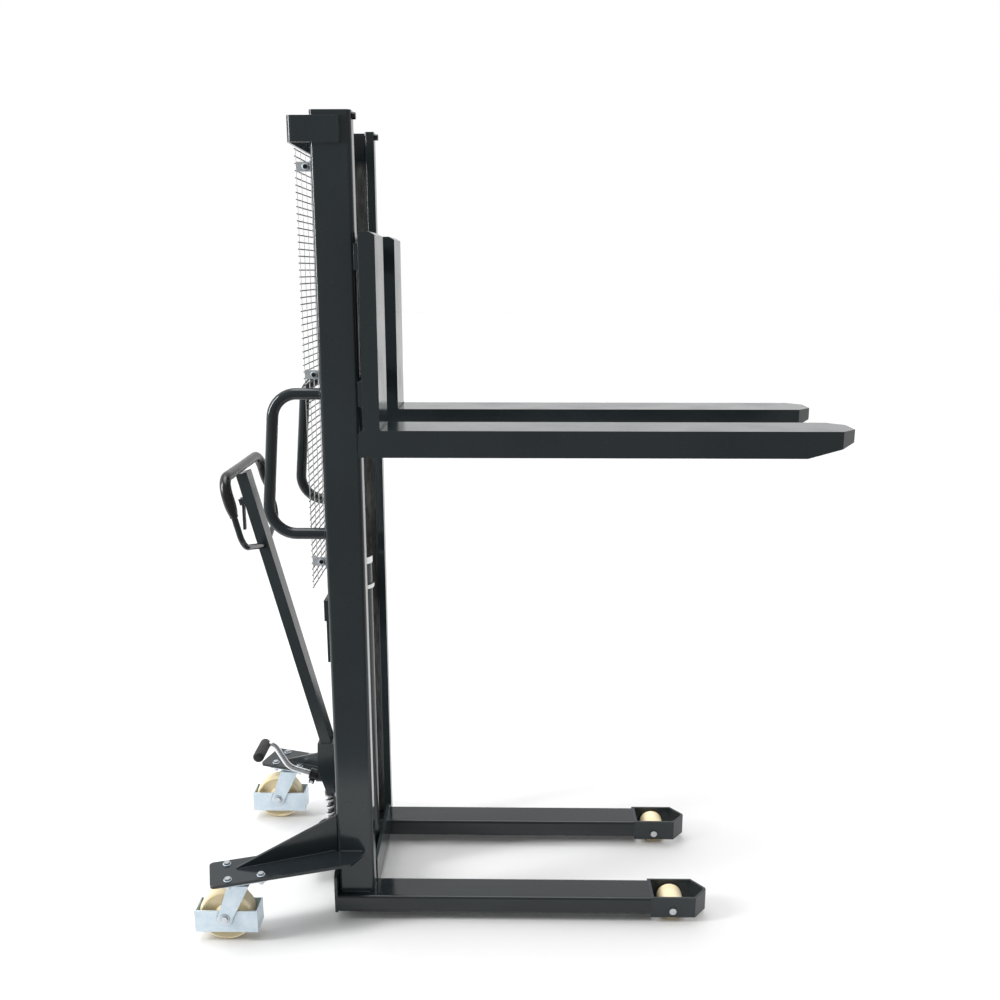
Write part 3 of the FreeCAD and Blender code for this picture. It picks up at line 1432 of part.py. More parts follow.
loop_half = size.loop_half_width
loop_bend = size.loop_bend_radius.value
loop_wire = bent_wire([
    loop_point(-size.tiller_tube_width * quarter_share, -size.loop_low_height),
    loop_point(-loop_half, size.loop_shoulder_height),
    loop_point(-loop_half, size.loop_height),
    loop_point(loop_half, size.loop_height),
    loop_point(loop_half, size.loop_shoulder_height),
    loop_point(size.tiller_tube_width * quarter_share, -size.loop_low_height),
], [loop_bend, loop_bend, loop_bend, loop_bend])
loop_bar = feature("handle_loop_bar", tube_solid(loop_wire, size.loop_tube_radius.value))
loop_room = leaned_block("loop_room", span(zero, size.tiller_tube_depth / 2),
                         span(zero, size.tiller_tube_width / 2), (zero, size.tiller_tube_length))
keep(cut("handle_loop", loop_bar, [loop_room]))


grip_wire = bent_wire([
    loop_point(-loop_half, size.grip_low_height),
    loop_point(-loop_half, size.loop_height),
    loop_point(loop_half, size.loop_height),
    loop_point(loop_half, size.grip_low_height),
], [loop_bend, loop_bend])
keep(feature("handle_grips", tube_solid(grip_wire, size.grip_radius.value, size.loop_tube_radius.value)))

# Head cover between the tube and the top bar, with ears for the release lever.
cover_foot_z = size.tiller_tube_length
head_core = padded("head_core", "YZ_Plane", [
    (-size.cover_foot_half_width, zero),
    (size.cover_foot_half_width, zero),
    (size.cover_half_width, size.cover_height),
    (-size.cover_half_width, size.cover_height),
], -size.cover_rear, size.cover_front)
leaned(head_core)
place(head_core, *tiller_spot(zero, cover_foot_z))
lever_high = cover_foot_z + size.lever_pivot_height
ear_low_y = size.lever_half_width + size.lever_ear_gap
ear_rear = -size.lever_offset - size.lever_ear_half_depth
ears = []
for side, low, high in (("right", -ear_low_y - size.lever_ear_plate, -ear_low_y),
                        ("left", ear_low_y, ear_low_y + size.lever_ear_plate)):
    ears.append(leaned_block("lever_ear_" + side, (ear_rear, -size.cover_rear), (low, high),
                             span(lever_high, size.lever_ear_half_depth)))
lever_x, lever_y, lever_z = tiller_spot(-size.lever_offset, lever_high)
ear_span = (ear_low_y + size.lever_ear_plate) * 2
lever_ear_bore = disc("lever_ear_bore", "y", (lever_x, lever_y - ear_span / 2, lever_z),
                      size.lever_pin_radius, ear_span)
keep(cut("head_cover", fuse("head_whole", [head_core] + ears), [lever_ear_bore]))
keep(disc("lever_pin", "y", (lever_x, -ear_low_y - size.lever_ear_plate, lever_z),
          size.lever_pin_radius, ear_span))
lever_arm = block("lever_arm", span(lever_x, size.lever_thickness / 2),
                  span(zero, size.lever_half_width), (lever_z - size.lever_length, lever_z))
lever_boss = disc("lever_boss", "y", (lever_x, -size.lever_half_width, lever_z),
                  size.lever_boss_radius, size.lever_half_width * 2)
lever_bore = disc("lever_bore_hole", "y", (lever_x, -size.lever_half_width, lever_z),
                  size.lever_bore, size.lever_half_width * 2)
keep(cut("release_lever", fuse("lever_whole", [lever_arm, lever_boss]), [lever_bore]))

# Foot pedal: a bent bar from the rocker with a rubber grip that stands out to the right.
pedal_rod = feature("pedal_rod", tube_solid(pedal_wire, size.pedal_bar_radius.value))
pedal_grip_end = (front_x - size.pedal_x_setback, size.pedal_grip_overhang - size.pedal_grip_length,
                  size.pedal_z)
pedal_grip_room = disc("pedal_grip_room", "y", pedal_grip_end, size.pedal_grip_radius,
                       size.pedal_grip_length)
keep(cut("pedal_bar", pedal_rod, [pedal_grip_room]))
keep(disc("pedal_grip", "y", pedal_grip_end, size.pedal_grip_radius, size.pedal_grip_length))

document.recompute()

# Check every object, then write one file for each piece.
for item in document.Objects:
    if "Invalid" in item.State or "Error" in item.State:
        raise RuntimeError(item.Name + " is " + str(item.State))
for item in exports:
    shape = item.Shape
    if shape.isNull() or not shape.isValid() or not shape.Solids:
        raise RuntimeError(item.Label + " has no sound shape")
    shape.exportStep(os.path.join("parts", item.Label + ".step"))
    box = shape.BoundBox
    print(item.Label, len(shape.Solids), round(shape.Volume),
          [round(v, 1) for v in (box.XMin, box.XMax, box.YMin, box.YMax, box.ZMin, box.ZMax)])
print("files", len(exports))
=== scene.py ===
import json
import math
import random

import bpy
import numpy as np
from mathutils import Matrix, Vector


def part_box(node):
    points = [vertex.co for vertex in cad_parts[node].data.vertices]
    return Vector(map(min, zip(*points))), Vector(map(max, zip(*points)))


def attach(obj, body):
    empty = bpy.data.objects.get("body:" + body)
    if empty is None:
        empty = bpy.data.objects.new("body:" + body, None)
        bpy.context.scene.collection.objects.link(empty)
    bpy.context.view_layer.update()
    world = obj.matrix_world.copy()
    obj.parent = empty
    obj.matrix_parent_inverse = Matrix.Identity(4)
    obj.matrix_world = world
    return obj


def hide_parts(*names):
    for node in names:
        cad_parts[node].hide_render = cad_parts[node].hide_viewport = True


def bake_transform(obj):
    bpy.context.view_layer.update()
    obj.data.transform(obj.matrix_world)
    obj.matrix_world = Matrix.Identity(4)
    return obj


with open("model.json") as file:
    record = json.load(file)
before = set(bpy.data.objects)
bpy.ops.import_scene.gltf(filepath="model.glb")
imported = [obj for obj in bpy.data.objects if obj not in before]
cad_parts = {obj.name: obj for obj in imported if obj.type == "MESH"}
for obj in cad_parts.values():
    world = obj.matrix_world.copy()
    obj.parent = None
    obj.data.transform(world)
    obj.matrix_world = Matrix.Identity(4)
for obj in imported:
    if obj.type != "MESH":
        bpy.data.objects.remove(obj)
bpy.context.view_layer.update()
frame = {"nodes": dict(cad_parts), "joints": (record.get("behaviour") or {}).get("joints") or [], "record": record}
nodes = frame["nodes"]
scene = bpy.context.scene
mm = 0.001
X, Y, Z = Vector((1, 0, 0)), Vector((0, 1, 0)), Vector((0, 0, 1))


# Node materials

class Graph:
    """A material's node tree with short calls for the nodes used here."""

    def __init__(self, name):
        self.material = bpy.data.materials.new(name)
        self.material.use_nodes = True
        self.tree = self.material.node_tree
        self.shader = self.tree.nodes["Principled BSDF"]
        self.place = self.node("ShaderNodeTexCoord").outputs["Object"]

    def node(self, kind, **settings):
        item = self.tree.nodes.new(kind)
        for field, value in settings.items():
            setattr(item, field, value)
        return item

    def put(self, socket, value):
        if isinstance(value, bpy.types.NodeSocket):
            self.tree.links.new(value, socket)
        else:
            socket.default_value = value

    def noise(self, scale, detail=2.0, rough=0.5, where=None):
        item = self.node("ShaderNodeTexNoise")
        self.put(item.inputs["Vector"], where or self.place)
        item.inputs["Scale"].default_value = scale
        item.inputs["Detail"].default_value = detail
        item.inputs["Roughness"].default_value = rough
        return item.outputs["Fac"]

    def stretched(self, scales):
        item = self.node("ShaderNodeMapping")
        self.put(item.inputs["Vector"], self.place)
        item.inputs["Scale"].default_value = scales
        return item.outputs["Vector"]

    def cells(self, scale):
        item = self.node("ShaderNodeTexVoronoi")
        self.put(item.inputs["Vector"], self.place)
        item.inputs["Scale"].default_value = scale
        return item.outputs["Color"]

    def ramp(self, value, low, high, start=0.0, end=1.0):
        item = self.node("ShaderNodeMapRange")
        self.put(item.inputs["Value"], value)
        for field, number in (("From Min", low), ("From Max", high), ("To Min", start), ("To Max", end)):
            item.inputs[field].default_value = number
        return item.outputs["Result"]

    def math(self, operation, first, second=0.0):
        item = self.node("ShaderNodeMath", operation=operation)
        self.put(item.inputs[0], first)
        self.put(item.inputs[1], second)
        return item.outputs[0]

    def mix(self, share, first, second, blend="MIX"):
        item = self.node("ShaderNodeMix", data_type="RGBA", blend_type=blend)
        self.put(item.inputs[0], share)
        self.put(item.inputs[6], first)
        self.put(item.inputs[7], second)
        return item.outputs[2]

    def axes(self):
        item = self.node("ShaderNodeSeparateXYZ")
        self.put(item.inputs[0], self.place)
        return item.outputs

    def soft_edges(self, radius):
        """A normal that rounds sharp edges, and a mask that is 1 on them."""
        bevel = self.node("ShaderNodeBevel", samples=6)
        bevel.inputs["Radius"].default_value = radius
        flat = self.node("ShaderNodeNewGeometry").outputs["True Normal"]
        dot = self.node("ShaderNodeVectorMath", operation="DOT_PRODUCT")
        self.put(dot.inputs[0], bevel.outputs[0])
        self.put(dot.inputs[1], flat)
        return bevel.outputs[0], self.ramp(dot.outputs["Value"], 0.97, 0.80)

    def bump(self, height, strength, distance, normal=None):
        item = self.node("ShaderNodeBump")
        item.inputs["Strength"].default_value = strength
        item.inputs["Distance"].default_value = distance
        self.put(item.inputs["Height"], height)
        if normal is not None:
            self.put(item.inputs["Normal"], normal)
        return item.outputs[0]

    def set(self, **inputs):
        for field, value in inputs.items():
            self.put(self.shader.inputs[field.replace("_", " ")], value)
        return self.material


def rgb(red, green, blue):
    """A colour from display values, as the shader's linear ones."""
    linear = []
    for part in (red, green, blue):
        share = part / 255
        linear.append(share / 12.92 if share <= 0.04045 else ((share + 0.055) / 1.055) ** 2.4)
    return (*linear, 1.0)


def paint(name, main, shade, gloss, track=False):
    """Powder coat: fine orange peel, slow tone changes, dust specks and edges rubbed lighter."""
    g = Graph(name)
    normal, edge = g.soft_edges(1.2 * mm)
    slow = g.ramp(g.noise(3.5, 3.0), 0.3, 0.7)
    colour = g.mix(slow, main, shade)
    specks = g.ramp(g.noise(420, 1.0), 0.70, 0.76)
    colour = g.mix(g.math("MULTIPLY", specks, 0.16), colour, rgb(120, 126, 128))
    worn = g.math("MULTIPLY", edge, g.ramp(g.noise(55, 4.0), 0.45, 0.75))
    colour = g.mix(g.math("MULTIPLY", worn, 0.35), colour, rgb(128, 134, 137))
    rough = g.ramp(g.noise(9, 4.0), 0.3, 0.7, gloss - 0.03, gloss + 0.06)
    if track:
        x, y, z = g.axes()
        inside = g.math("MULTIPLY", g.math("LESS_THAN", g.math("ABSOLUTE", y), column_web_y),
                        g.math("MULTIPLY", g.math("GREATER_THAN", x, column_rear_x),
                               g.math("LESS_THAN", x, column_front_x)))
        run = g.math("MULTIPLY", inside, g.ramp(z, track_top_z, track_top_z - 0.03))
        grease = g.ramp(g.noise(1, 5.0, 0.65, g.stretched((70, 70, 14))), 0.35, 0.72)
        smear = g.mix(grease, rgb(72, 72, 71), rgb(138, 138, 135))
        colour = g.mix(run, colour, smear)
        rough = g.math("ADD", rough, g.math("MULTIPLY", run, 0.22))
    peel = g.bump(g.noise(520, 1.5), 0.10, 0.4 * mm, normal)
    return g.set(Base_Color=colour, Roughness=rough, Normal=peel, IOR=1.45)


def zinc(name, main, shade, blue, shaded=True):
    """Bright zinc plating: cloudy crystals, a faint blue tint and long scratches; when shaded, painted shade
    darkens its edges and corners.
    """
    g = Graph(name)
    normal, edge = g.soft_edges(0.6 * mm)
    clouds = g.ramp(g.noise(38, 4.0, 0.6), 0.35, 0.65)
    colour = g.mix(clouds, main, shade)
    spangle = g.node("ShaderNodeSeparateColor")
    g.put(spangle.inputs[0], g.cells(260))
    colour = g.mix(g.math("MULTIPLY", spangle.outputs[0], 0.16), colour, blue)
    scratch = g.ramp(g.noise(1, 2.0, 0.5, g.stretched((25, 900, 900))), 0.62, 0.74)
    colour = g.mix(g.math("MULTIPLY", scratch, 0.10), colour, rgb(170, 174, 178))
    if shaded:
        # Painted shade: sharp edges darkened, then corners darkened by an occlusion mask.
        colour = g.mix(g.math("MULTIPLY", edge, 0.62), colour, rgb(92, 98, 104))
        painted_corner_shade = g.node("ShaderNodeAmbientOcclusion", samples=8)
        painted_corner_shade.inputs["Distance"].default_value = 7 * mm
        colour = g.mix(g.ramp(painted_corner_shade.outputs["AO"], 0.92, 0.45, 0.0, 0.85), colour, rgb(84, 88, 92))
    rough = g.ramp(g.noise(70, 3.0), 0.3, 0.7, 0.30, 0.46)
    peel = g.bump(g.noise(300, 3.0), 0.08, 0.3 * mm, normal)
    return g.set(Base_Color=colour, Metallic=0.3, Roughness=rough, Normal=peel)


def steel(name, main, shade, low, high, brush=(12, 12, 700)):
    """Bare steel with brushed lines, oily darker patches and painted shade darkening its corners."""
    g = Graph(name)
    normal, edge = g.soft_edges(0.4 * mm)
    oil = g.ramp(g.noise(30, 5.0, 0.6), 0.35, 0.7)
    colour = g.mix(oil, main, shade)
    colour = g.mix(g.math("MULTIPLY", edge, 0.35), colour, rgb(205, 207, 210))
    # Painted shade: corners darkened by an occlusion mask.
    painted_corner_shade = g.node("ShaderNodeAmbientOcclusion", samples=8)
    painted_corner_shade.inputs["Distance"].default_value = 4 * mm
    colour = g.mix(g.ramp(painted_corner_shade.outputs["AO"], 0.85, 0.4, 0.0, 0.6), colour, rgb(60, 62, 64))
    lines = g.noise(1, 2.0, 0.5, g.stretched(brush))
    rough = g.ramp(lines, 0.3, 0.7, low, high)
    peel = g.bump(lines, 0.06, 0.2 * mm, normal)
    return g.set(Base_Color=colour, Metallic=1.0, Roughness=rough, Normal=peel)


def nylon(name):
    """Cast nylon: creamy, slightly translucent, with tone clouds and scuffs on the tread."""
    g = Graph(name)
    normal, edge = g.soft_edges(0.8 * mm)
    clouds = g.ramp(g.noise(16, 3.0), 0.3, 0.7)
    colour = g.mix(clouds, rgb(250, 236, 201), rgb(241, 222, 180))
    scuff = g.ramp(g.noise(180, 4.0, 0.7), 0.62, 0.78)
    colour = g.mix(g.math("MULTIPLY", scuff, 0.22), colour, rgb(170, 150, 116))
    rough = g.ramp(g.noise(60, 3.0), 0.3, 0.7, 0.34, 0.5)
    peel = g.bump(g.noise(420, 2.0), 0.07, 0.4 * mm, normal)
    return g.set(Base_Color=colour, Roughness=rough, Normal=peel, Subsurface_Weight=0.12,
                 Subsurface_Radius=(0.012, 0.008, 0.004), Subsurface_Scale=0.4)


def polymer(name, main, shade, low, high, grain, depth):
    """Moulded plastic or rubber with a fine grain and dusty, rubbed edges."""
    g = Graph(name)
    normal, edge = g.soft_edges(0.8 * mm)
    colour = g.mix(g.ramp(g.noise(24, 4.0), 0.3, 0.7), main, shade)
    dust = g.math("MULTIPLY", edge, g.ramp(g.noise(140, 3.0), 0.4, 0.7, 0.0, 0.3))
    colour = g.mix(dust, colour, rgb(110, 110, 110))
    rough = g.ramp(g.noise(80, 3.0), 0.3, 0.7, low, high)
    peel = g.bump(g.noise(grain, 2.0), depth, 0.3 * mm, normal)
    return g.set(Base_Color=colour, Roughness=rough, Normal=peel)


# Shared positions, read off the frame

column_low, column_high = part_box("right_mast_column")
rear_x, front_x = column_low.x, column_high.x
outer_y, inner_y = -column_low.y, -column_high.y
# The greasy running track starts just inside the columns' webs and flanges.
column_web, column_flange, track_margin = 5.9 * mm, 23.9 * mm, 70 * mm
column_web_y = outer_y - column_web
column_rear_x, column_front_x = rear_x + column_flange, front_x - column_flange
track_top_z = column_high.z - track_margin

dark_paint = paint("dark_paint", rgb(45, 53, 56), rgb(39, 46, 49), 0.17)
column_paint = paint("column_paint", rgb(45, 53, 56), rgb(39, 46, 49), 0.13, track=True)
# The legs and outrigger plates take a darker copy of the column paint: painted shade on them.
shaded_leg_paint = paint("shaded_leg_paint", rgb(37, 43, 46), rgb(32, 37, 40), 0.12)
tube_paint = paint("tube_paint", rgb(39, 46, 49), rgb(34, 40, 43), 0.07)
weld_paint = paint("weld_paint", rgb(58, 66, 70), rgb(40, 47, 51), 0.12)
bright_zinc = zinc("bright_zinc", rgb(222, 234, 242), rgb(206, 222, 233), rgb(190, 214, 234))
wire_zinc = zinc("wire_zinc", rgb(60, 60, 60), rgb(44, 44, 44), rgb(66, 68, 70))
clip_zinc = zinc("clip_zinc", rgb(206, 208, 210), rgb(184, 186, 188), rgb(188, 194, 200))
pale_zinc = zinc("pale_zinc", rgb(242, 243, 243), rgb(232, 233, 234), rgb(236, 239, 242), shaded=False)
dark_steel = steel("dark_steel", rgb(66, 66, 68), rgb(42, 42, 44), 0.25, 0.4)
bolt_steel = steel("bolt_steel", rgb(208, 211, 214), rgb(180, 183, 187), 0.10, 0.18)
oiled_steel = steel("oiled_steel", rgb(128, 127, 124), rgb(84, 82, 79), 0.28, 0.45)
spring_zinc = zinc("spring_zinc", rgb(230, 231, 232), rgb(208, 209, 211), rgb(216, 219, 223))
gland_steel = steel("gland_steel", rgb(224, 225, 226), rgb(198, 199, 201), 0.14, 0.24)
chrome = steel("chrome", rgb(226, 228, 231), rgb(206, 208, 212), 0.06, 0.14)
cream_nylon = nylon("cream_nylon")
black_rubber = polymer("black_rubber", rgb(25, 25, 26), rgb(18, 18, 19), 0.40, 0.54, 700, 0.12)
grip_rubber = polymer("grip_rubber", rgb(27, 27, 28), rgb(21, 21, 22), 0.22, 0.30, 900, 0.03)
head_plastic = polymer("head_plastic", rgb(45, 53, 56), rgb(39, 46, 49), 0.16, 0.24, 620, 0.05)
black_plastic = polymer("black_plastic", rgb(30, 31, 32), rgb(22, 22, 23), 0.34, 0.5, 620, 0.14)

slot_finish = {"dark_paint": dark_paint, "nylon": cream_nylon, "zinc_plate": bright_zinc,
               "bare_steel": oiled_steel, "chrome_rod": chrome, "black_rubber": black_rubber,
               "black_plastic": black_plastic}
node_finish = {}
for finish, names in ((column_paint, ("right_mast_column", "left_mast_column")),
                      (shaded_leg_paint, ("right_leg", "left_leg", "outrigger_plates")),
                      (tube_paint, ("grab_handles", "handle_loop")),
                      (dark_steel, ("mast_bolts", "lever_pin")),
                      (bolt_steel, ("caster_bolts", "load_roller_axles", "right_caster_axle",
                                    "left_caster_axle")),
                      (gland_steel, ("cylinder_gland", "cylinder_clamp")),
                      (clip_zinc, ("mesh_clips",)),
                      (grip_rubber, ("handle_grips",)),
                      (head_plastic, ("head_cover",))):
    node_finish.update(dict.fromkeys(names, finish))
for part in frame["record"]["subparts"]:
    materials = nodes[part["node"]].data.materials
    materials.clear()
    materials.append(node_finish.get(part["node"], slot_finish[part["material_slot"]]))


# Mesh building

class Shape:
    """Collects points and faces, then becomes one piece."""

    def __init__(self):
        self.points = []
        self.faces = []

    def add(self, points, faces):
        start = len(self.points)
        self.points.extend(Vector(p) for p in points)
        self.faces.extend([tuple(start + i for i in face) for face in faces])

    def tube(self, path, radius, sides=12, closed=False):
        """A round tube along points; radius is one number or one for each point."""
        path = [Vector(p) for p in path]
        total = len(path)
        radii = radius if isinstance(radius, (list, tuple)) else [radius] * total
        side = None
        rings = []
        for i, spot in enumerate(path):
            ahead = path[(i + 1) % total] if closed or i + 1 < total else spot
            behind = path[i - 1] if closed or i > 0 else spot
            way = (ahead - behind).normalized()
            if side is None:
                side = way.orthogonal().normalized()
            side = (side - way * side.dot(way)).normalized()
            other = way.cross(side)
            ring = []
            for k in range(sides):
                angle = 2 * math.pi * k / sides
                ring.append(spot + (side * math.cos(angle) + other * math.sin(angle)) * radii[i])
            rings.append(ring)
        points = [p for ring in rings for p in ring]
        faces = []
        for i in range(total if closed else total - 1):
            a, b = i * sides, ((i + 1) % total) * sides
            for k in range(sides):
                n = (k + 1) % sides
                faces.append((a + k, a + n, b + n, b + k))
        if not closed:
            faces.append(tuple(range(sides))[::-1])
            faces.append(tuple(range((total - 1) * sides, total * sides)))
        self.add(points, faces)

    def lathe(self, centre, axis, profile, sides=32):
        """A turned piece: pairs of distance along the axis and radius."""
        axis = Vector(axis).normalized()
        side = axis.orthogonal().normalized()
        other = axis.cross(side)
        points = []
        for along, radius in profile:
            for k in range(sides):
                angle = 2 * math.pi * k / sides
                points.append(Vector(centre) + axis * along
                              + (side * math.cos(angle) + other * math.sin(angle)) * radius)
        faces = []
        for i in range(len(profile) - 1):
            for k in range(sides):
                n = (k + 1) % sides
                faces.append((i * sides + k, i * sides + n, (i + 1) * sides + n, (i + 1) * sides + k))
        if profile[0][1] > 0 and profile[0] != profile[-1]:
            faces.append(tuple(range(sides))[::-1])
            faces.append(tuple(range((len(profile) - 1) * sides, len(profile) * sides)))
        self.add(points, faces)

    def extrude(self, outline, start, reach):
        """A flat outline of points, pushed along a vector."""
        total = len(outline)
        low = [Vector(p) + Vector(start) for p in outline]
        high = [p + Vector(reach) for p in low]
        faces = [tuple(range(total))[::-1], tuple(range(total, 2 * total))]
        for i in range(total):
            n = (i + 1) % total
            faces.append((i, n, total + n, total + i))
        self.add(low + high, faces)

    def mirrored(self):
        """The same again on the other side of the middle plane."""
        start = len(self.points)
        self.points.extend([Vector((p.x, -p.y, p.z)) for p in self.points])
        self.faces.extend([tuple(start + i for i in face)[::-1] for face in self.faces])
        return self

    def make(self, name, material, body=None, slot=None, replaces=(), sharp=35):
        mesh = bpy.data.meshes.new(name)
        mesh.from_pydata(self.points, [], self.faces)
        mesh.validate()
        mesh.shade_smooth()
        mesh.set_sharp_from_angle(angle=math.radians(sharp))
        mesh.materials.append(material)
        item = bpy.data.objects.new(name, mesh)
        scene.collection.objects.link(item)
        if body:
            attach(item, body)
        for node in replaces:
            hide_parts(node)
        return item


def rounded_in(item, width, segments=3):
    """Rounds a piece's sharp edges."""
    bevel = item.modifiers.new("rounding", "BEVEL")
    bevel.width = width
    bevel.segments = segments
    bevel.limit_method = "ANGLE"
    bevel.angle_limit = math.radians(40)
    bevel.harden_normals = False
    return item


def turned(*pairs):
    """A lathe profile from pairs in millimetres."""
    return [(along * mm, radius * mm) for along, radius in pairs]


def washer(bore, foot, rim, crown, shoulder, height):
    """A washer's lathe profile, closed round its bore, in millimetres."""
    return turned((0, bore), (0, foot), (shoulder, rim), (height, crown), (height, bore), (0, bore))


def line(start, end, count):
    start, end = Vector(start), Vector(end)
    return [start.lerp(end, i / (count - 1)) for i in range(count)]


def circle(centre, first, second, radius, count):
    points = []
    for i in range(count):
        angle = 2 * math.pi * i / count
        points.append(Vector(centre) + first * (radius * math.cos(angle))
                      + second * (radius * math.sin(angle)))
    return points


# Wire guard: crosswise wires in front, upright wires behind them, welded where they touch.
mesh_low, mesh_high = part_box("mesh_guard")
mesh_x = (mesh_low.x + mesh_high.x) / 2
wire_rows, wire_columns = 66, 6
wire_radius = 1.5 * mm
wire_offset = 0.9 * mm
edge_inset = 1.5 * mm
crosswise = Shape()
upright = Shape()
for row in range(wire_rows + 1):
    height = mesh_low.z + edge_inset + (mesh_high.z - mesh_low.z - 2 * edge_inset) * row / wire_rows
    crosswise.tube(line((mesh_x - wire_offset, mesh_low.y, height),
                        (mesh_x - wire_offset, mesh_high.y, height), 2), wire_radius, 8)
for column in range(wire_columns + 1):
    across = mesh_low.y + edge_inset + (mesh_high.y - mesh_low.y - 2 * edge_inset) * column / wire_columns
    upright.tube(line((mesh_x + wire_offset, across, mesh_low.z),
                      (mesh_x + wire_offset, across, mesh_high.z), 2), wire_radius * 0.75, 8)
crosswise.make("guard_cross_wires", wire_zinc, "frame", "zinc_plate", ["mesh_guard"])
upright.make("guard_upright_wires", pale_zinc, "frame", "zinc_plate")

# Bolts with washers on the guard's clips.
clip_low, clip_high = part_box("mesh_clips")
clip_half = 11 * mm
middle_clip_z = 1480 * mm
clip_bolts = Shape()
clip_washers = Shape()
for height in (clip_low.z + clip_half, middle_clip_z, clip_high.z - clip_half):
    spot = Vector(((clip_low.x + clip_high.x) / 2 + 2 * mm, -inner_y, height))
    clip_washers.lathe(spot, -Y, washer(3.0, 8.4, 8.6, 8.0, 1.0, 1.4), 24)
    clip_bolts.lathe(spot, -Y, turned((1.2, 3.0), (1.5, 5.6), (5.2, 5.6), (5.8, 5.0), (5.9, 0.2)), 6)
clip_washers.mirrored().make("clip_washers", bright_zinc, "frame", "zinc_plate")
clip_bolts.mirrored().make("clip_bolts", dark_steel, "frame", "bare_steel")

# Pump spring: one coil with closed ends between the pump collar and the plunger cap.
spring_low, spring_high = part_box("pump_spring")
spring_x = (spring_low.x + spring_high.x) / 2
coil_wire = 3.0 * mm
coil_radius = (spring_high.x - spring_low.x) / 2 - coil_wire
coil_turns, coil_steps = 5, 32
closed_turns = 0.6
closed_rise = closed_turns * coil_wire * 2
coil = []
coil_floor, coil_roof = spring_low.z + coil_wire, spring_high.z - coil_wire
for step in range(coil_turns * coil_steps + 1):
    share = step / (coil_turns * coil_steps)
    turn = share * coil_turns
    eased = min(max((turn - closed_turns) / (coil_turns - 2 * closed_turns), 0.0), 1.0)
    first_end = min(turn, closed_turns) / closed_turns
    last_end = max(turn - coil_turns + closed_turns, 0) / closed_turns
    rise = closed_rise * (first_end + last_end) / 2
    height = coil_floor + rise + (coil_roof - coil_floor - closed_rise) * eased
    angle = 2 * math.pi * turn
    coil.append((spring_x + coil_radius * math.cos(angle), coil_radius * math.sin(angle), height))
spring = Shape()
spring.tube(coil, coil_wire, 10)
spring_piece = spring.make("return_spring", spring_zinc, None, "bare_steel", ["pump_spring"])
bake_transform(spring_piece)


# Lift chain: laced plates on pins.

plate_height = 5.6 * mm
plate_count = 7
plate_width = 2.1 * mm
plate_step = 2.35 * mm
pin_radius = 1.5 * mm
run_slimming = 0.04 * mm


def chain_link(shape, start, end, normal, odd, slim):
    """One link's plates and its first pin, between two pin places."""
    way = (end - start).normalized()
    radius = plate_height / 2 - slim
    outline = []
    for k in range(7):
        angle = math.pi / 2 + math.pi * k / 6
        outline.append(start + (way * math.cos(angle) + normal * math.sin(angle)) * radius)
    for k in range(7):
        angle = -math.pi / 2 + math.pi * k / 6
        outline.append(end + (way * math.cos(angle) + normal * math.sin(angle)) * radius)
    for plate in range(odd, plate_count, 2):
        low = (plate - plate_count / 2) * plate_step
        shape.extrude(outline, Y * (low + slim), Y * (plate_width - 2 * slim))
    half = plate_count / 2 * plate_step + 0.6 * mm - slim
    shape.tube([start - Y * half, start + Y * half], pin_radius - slim, 8)


def chain_strand(name, x, low, high, shortest, runs, links, node):
    """A chain of overlapping runs of links, spread from the low end to the high end, each kept whole.

    Each run is as long as the shortest strand, and a hair slimmer than the one before it.
    """
    shape = Shape()
    shares = []
    step = (high - low - shortest) / (runs - 1)
    pitch = step / links
    for run in range(runs):
        share = run / (runs - 1)
        floor = low + share * (high - low - shortest)
        slim = run_slimming * run
        count = int(shortest / pitch)
        for link in range(count):
            start = Vector((x, 0, floor + pitch * (link + 0.5)))
            chain_link(shape, start, start + Z * pitch, X, (run * links + link) % 2, slim)
        shares.extend([share] * (len(shape.points) - len(shares)))
    piece = shape.make(name, oiled_steel, None, "bare_steel", [node])
    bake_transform(piece)
    return piece


fixed_low, fixed_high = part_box("fixed_chain_strand")
lift_low, lift_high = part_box("lift_chain_strand")
fixed_x = (fixed_low.x + fixed_high.x) / 2
lift_x = (lift_low.x + lift_high.x) / 2
lift_joint = next(j for j in frame["joints"] if j["name"] == "lift_rod_slide")
fall, rise = -lift_joint["range_m"][0], lift_joint["range_m"][1]
fixed_length, lift_length = fixed_high.z - fixed_low.z, lift_high.z - lift_low.z
chain_strand("fixed_chain", fixed_x, fixed_low.z, fixed_high.z, fixed_length - fall, 10, 10,
             "fixed_chain_strand")
chain_strand("lift_chain", lift_x, lift_low.z, lift_high.z, lift_length - rise, 9, 2,
             "lift_chain_strand")
bend_centre = Vector(((fixed_x + lift_x) / 2, 0, fixed_high.z))
bend_radius = (lift_x - fixed_x) / 2
bend_links = 18
bend = Shape()
for link in range(bend_links):
    spots = []
    for i in (link, link + 1):
        angle = math.pi * i / bend_links
        spots.append(bend_centre + X * (bend_radius * math.cos(angle))
                     + Z * (bend_radius * math.sin(angle)))
    outward = ((spots[0] + spots[1]) / 2 - bend_centre).normalized()
    chain_link(bend, spots[0], spots[1], outward, link % 2, 0.0)
bend.make("chain_over_wheel", oiled_steel, "lift_rod", "bare_steel", ["chain_bend"])

# Welds: rippled beads along the joints of the painted steelwork.
random.seed(7)
bead_step = 1.2 * mm


def bead(shape, path, radius):
    """A weld along points, with a ripple every four of them and thin ends."""
    radii = []
    spots = []
    for i, spot in enumerate(path):
        swell = 0.82 + 0.18 * math.cos(2 * math.pi * i / 4) + random.uniform(-0.05, 0.05)
        radii.append(radius * swell)
        spots.append(Vector(spot) + Vector([random.uniform(-0.06, 0.06) * radius for k in range(3)]))
    radii[0] *= 0.5
    radii[-1] *= 0.5
    shape.tube(spots, radii, 8)


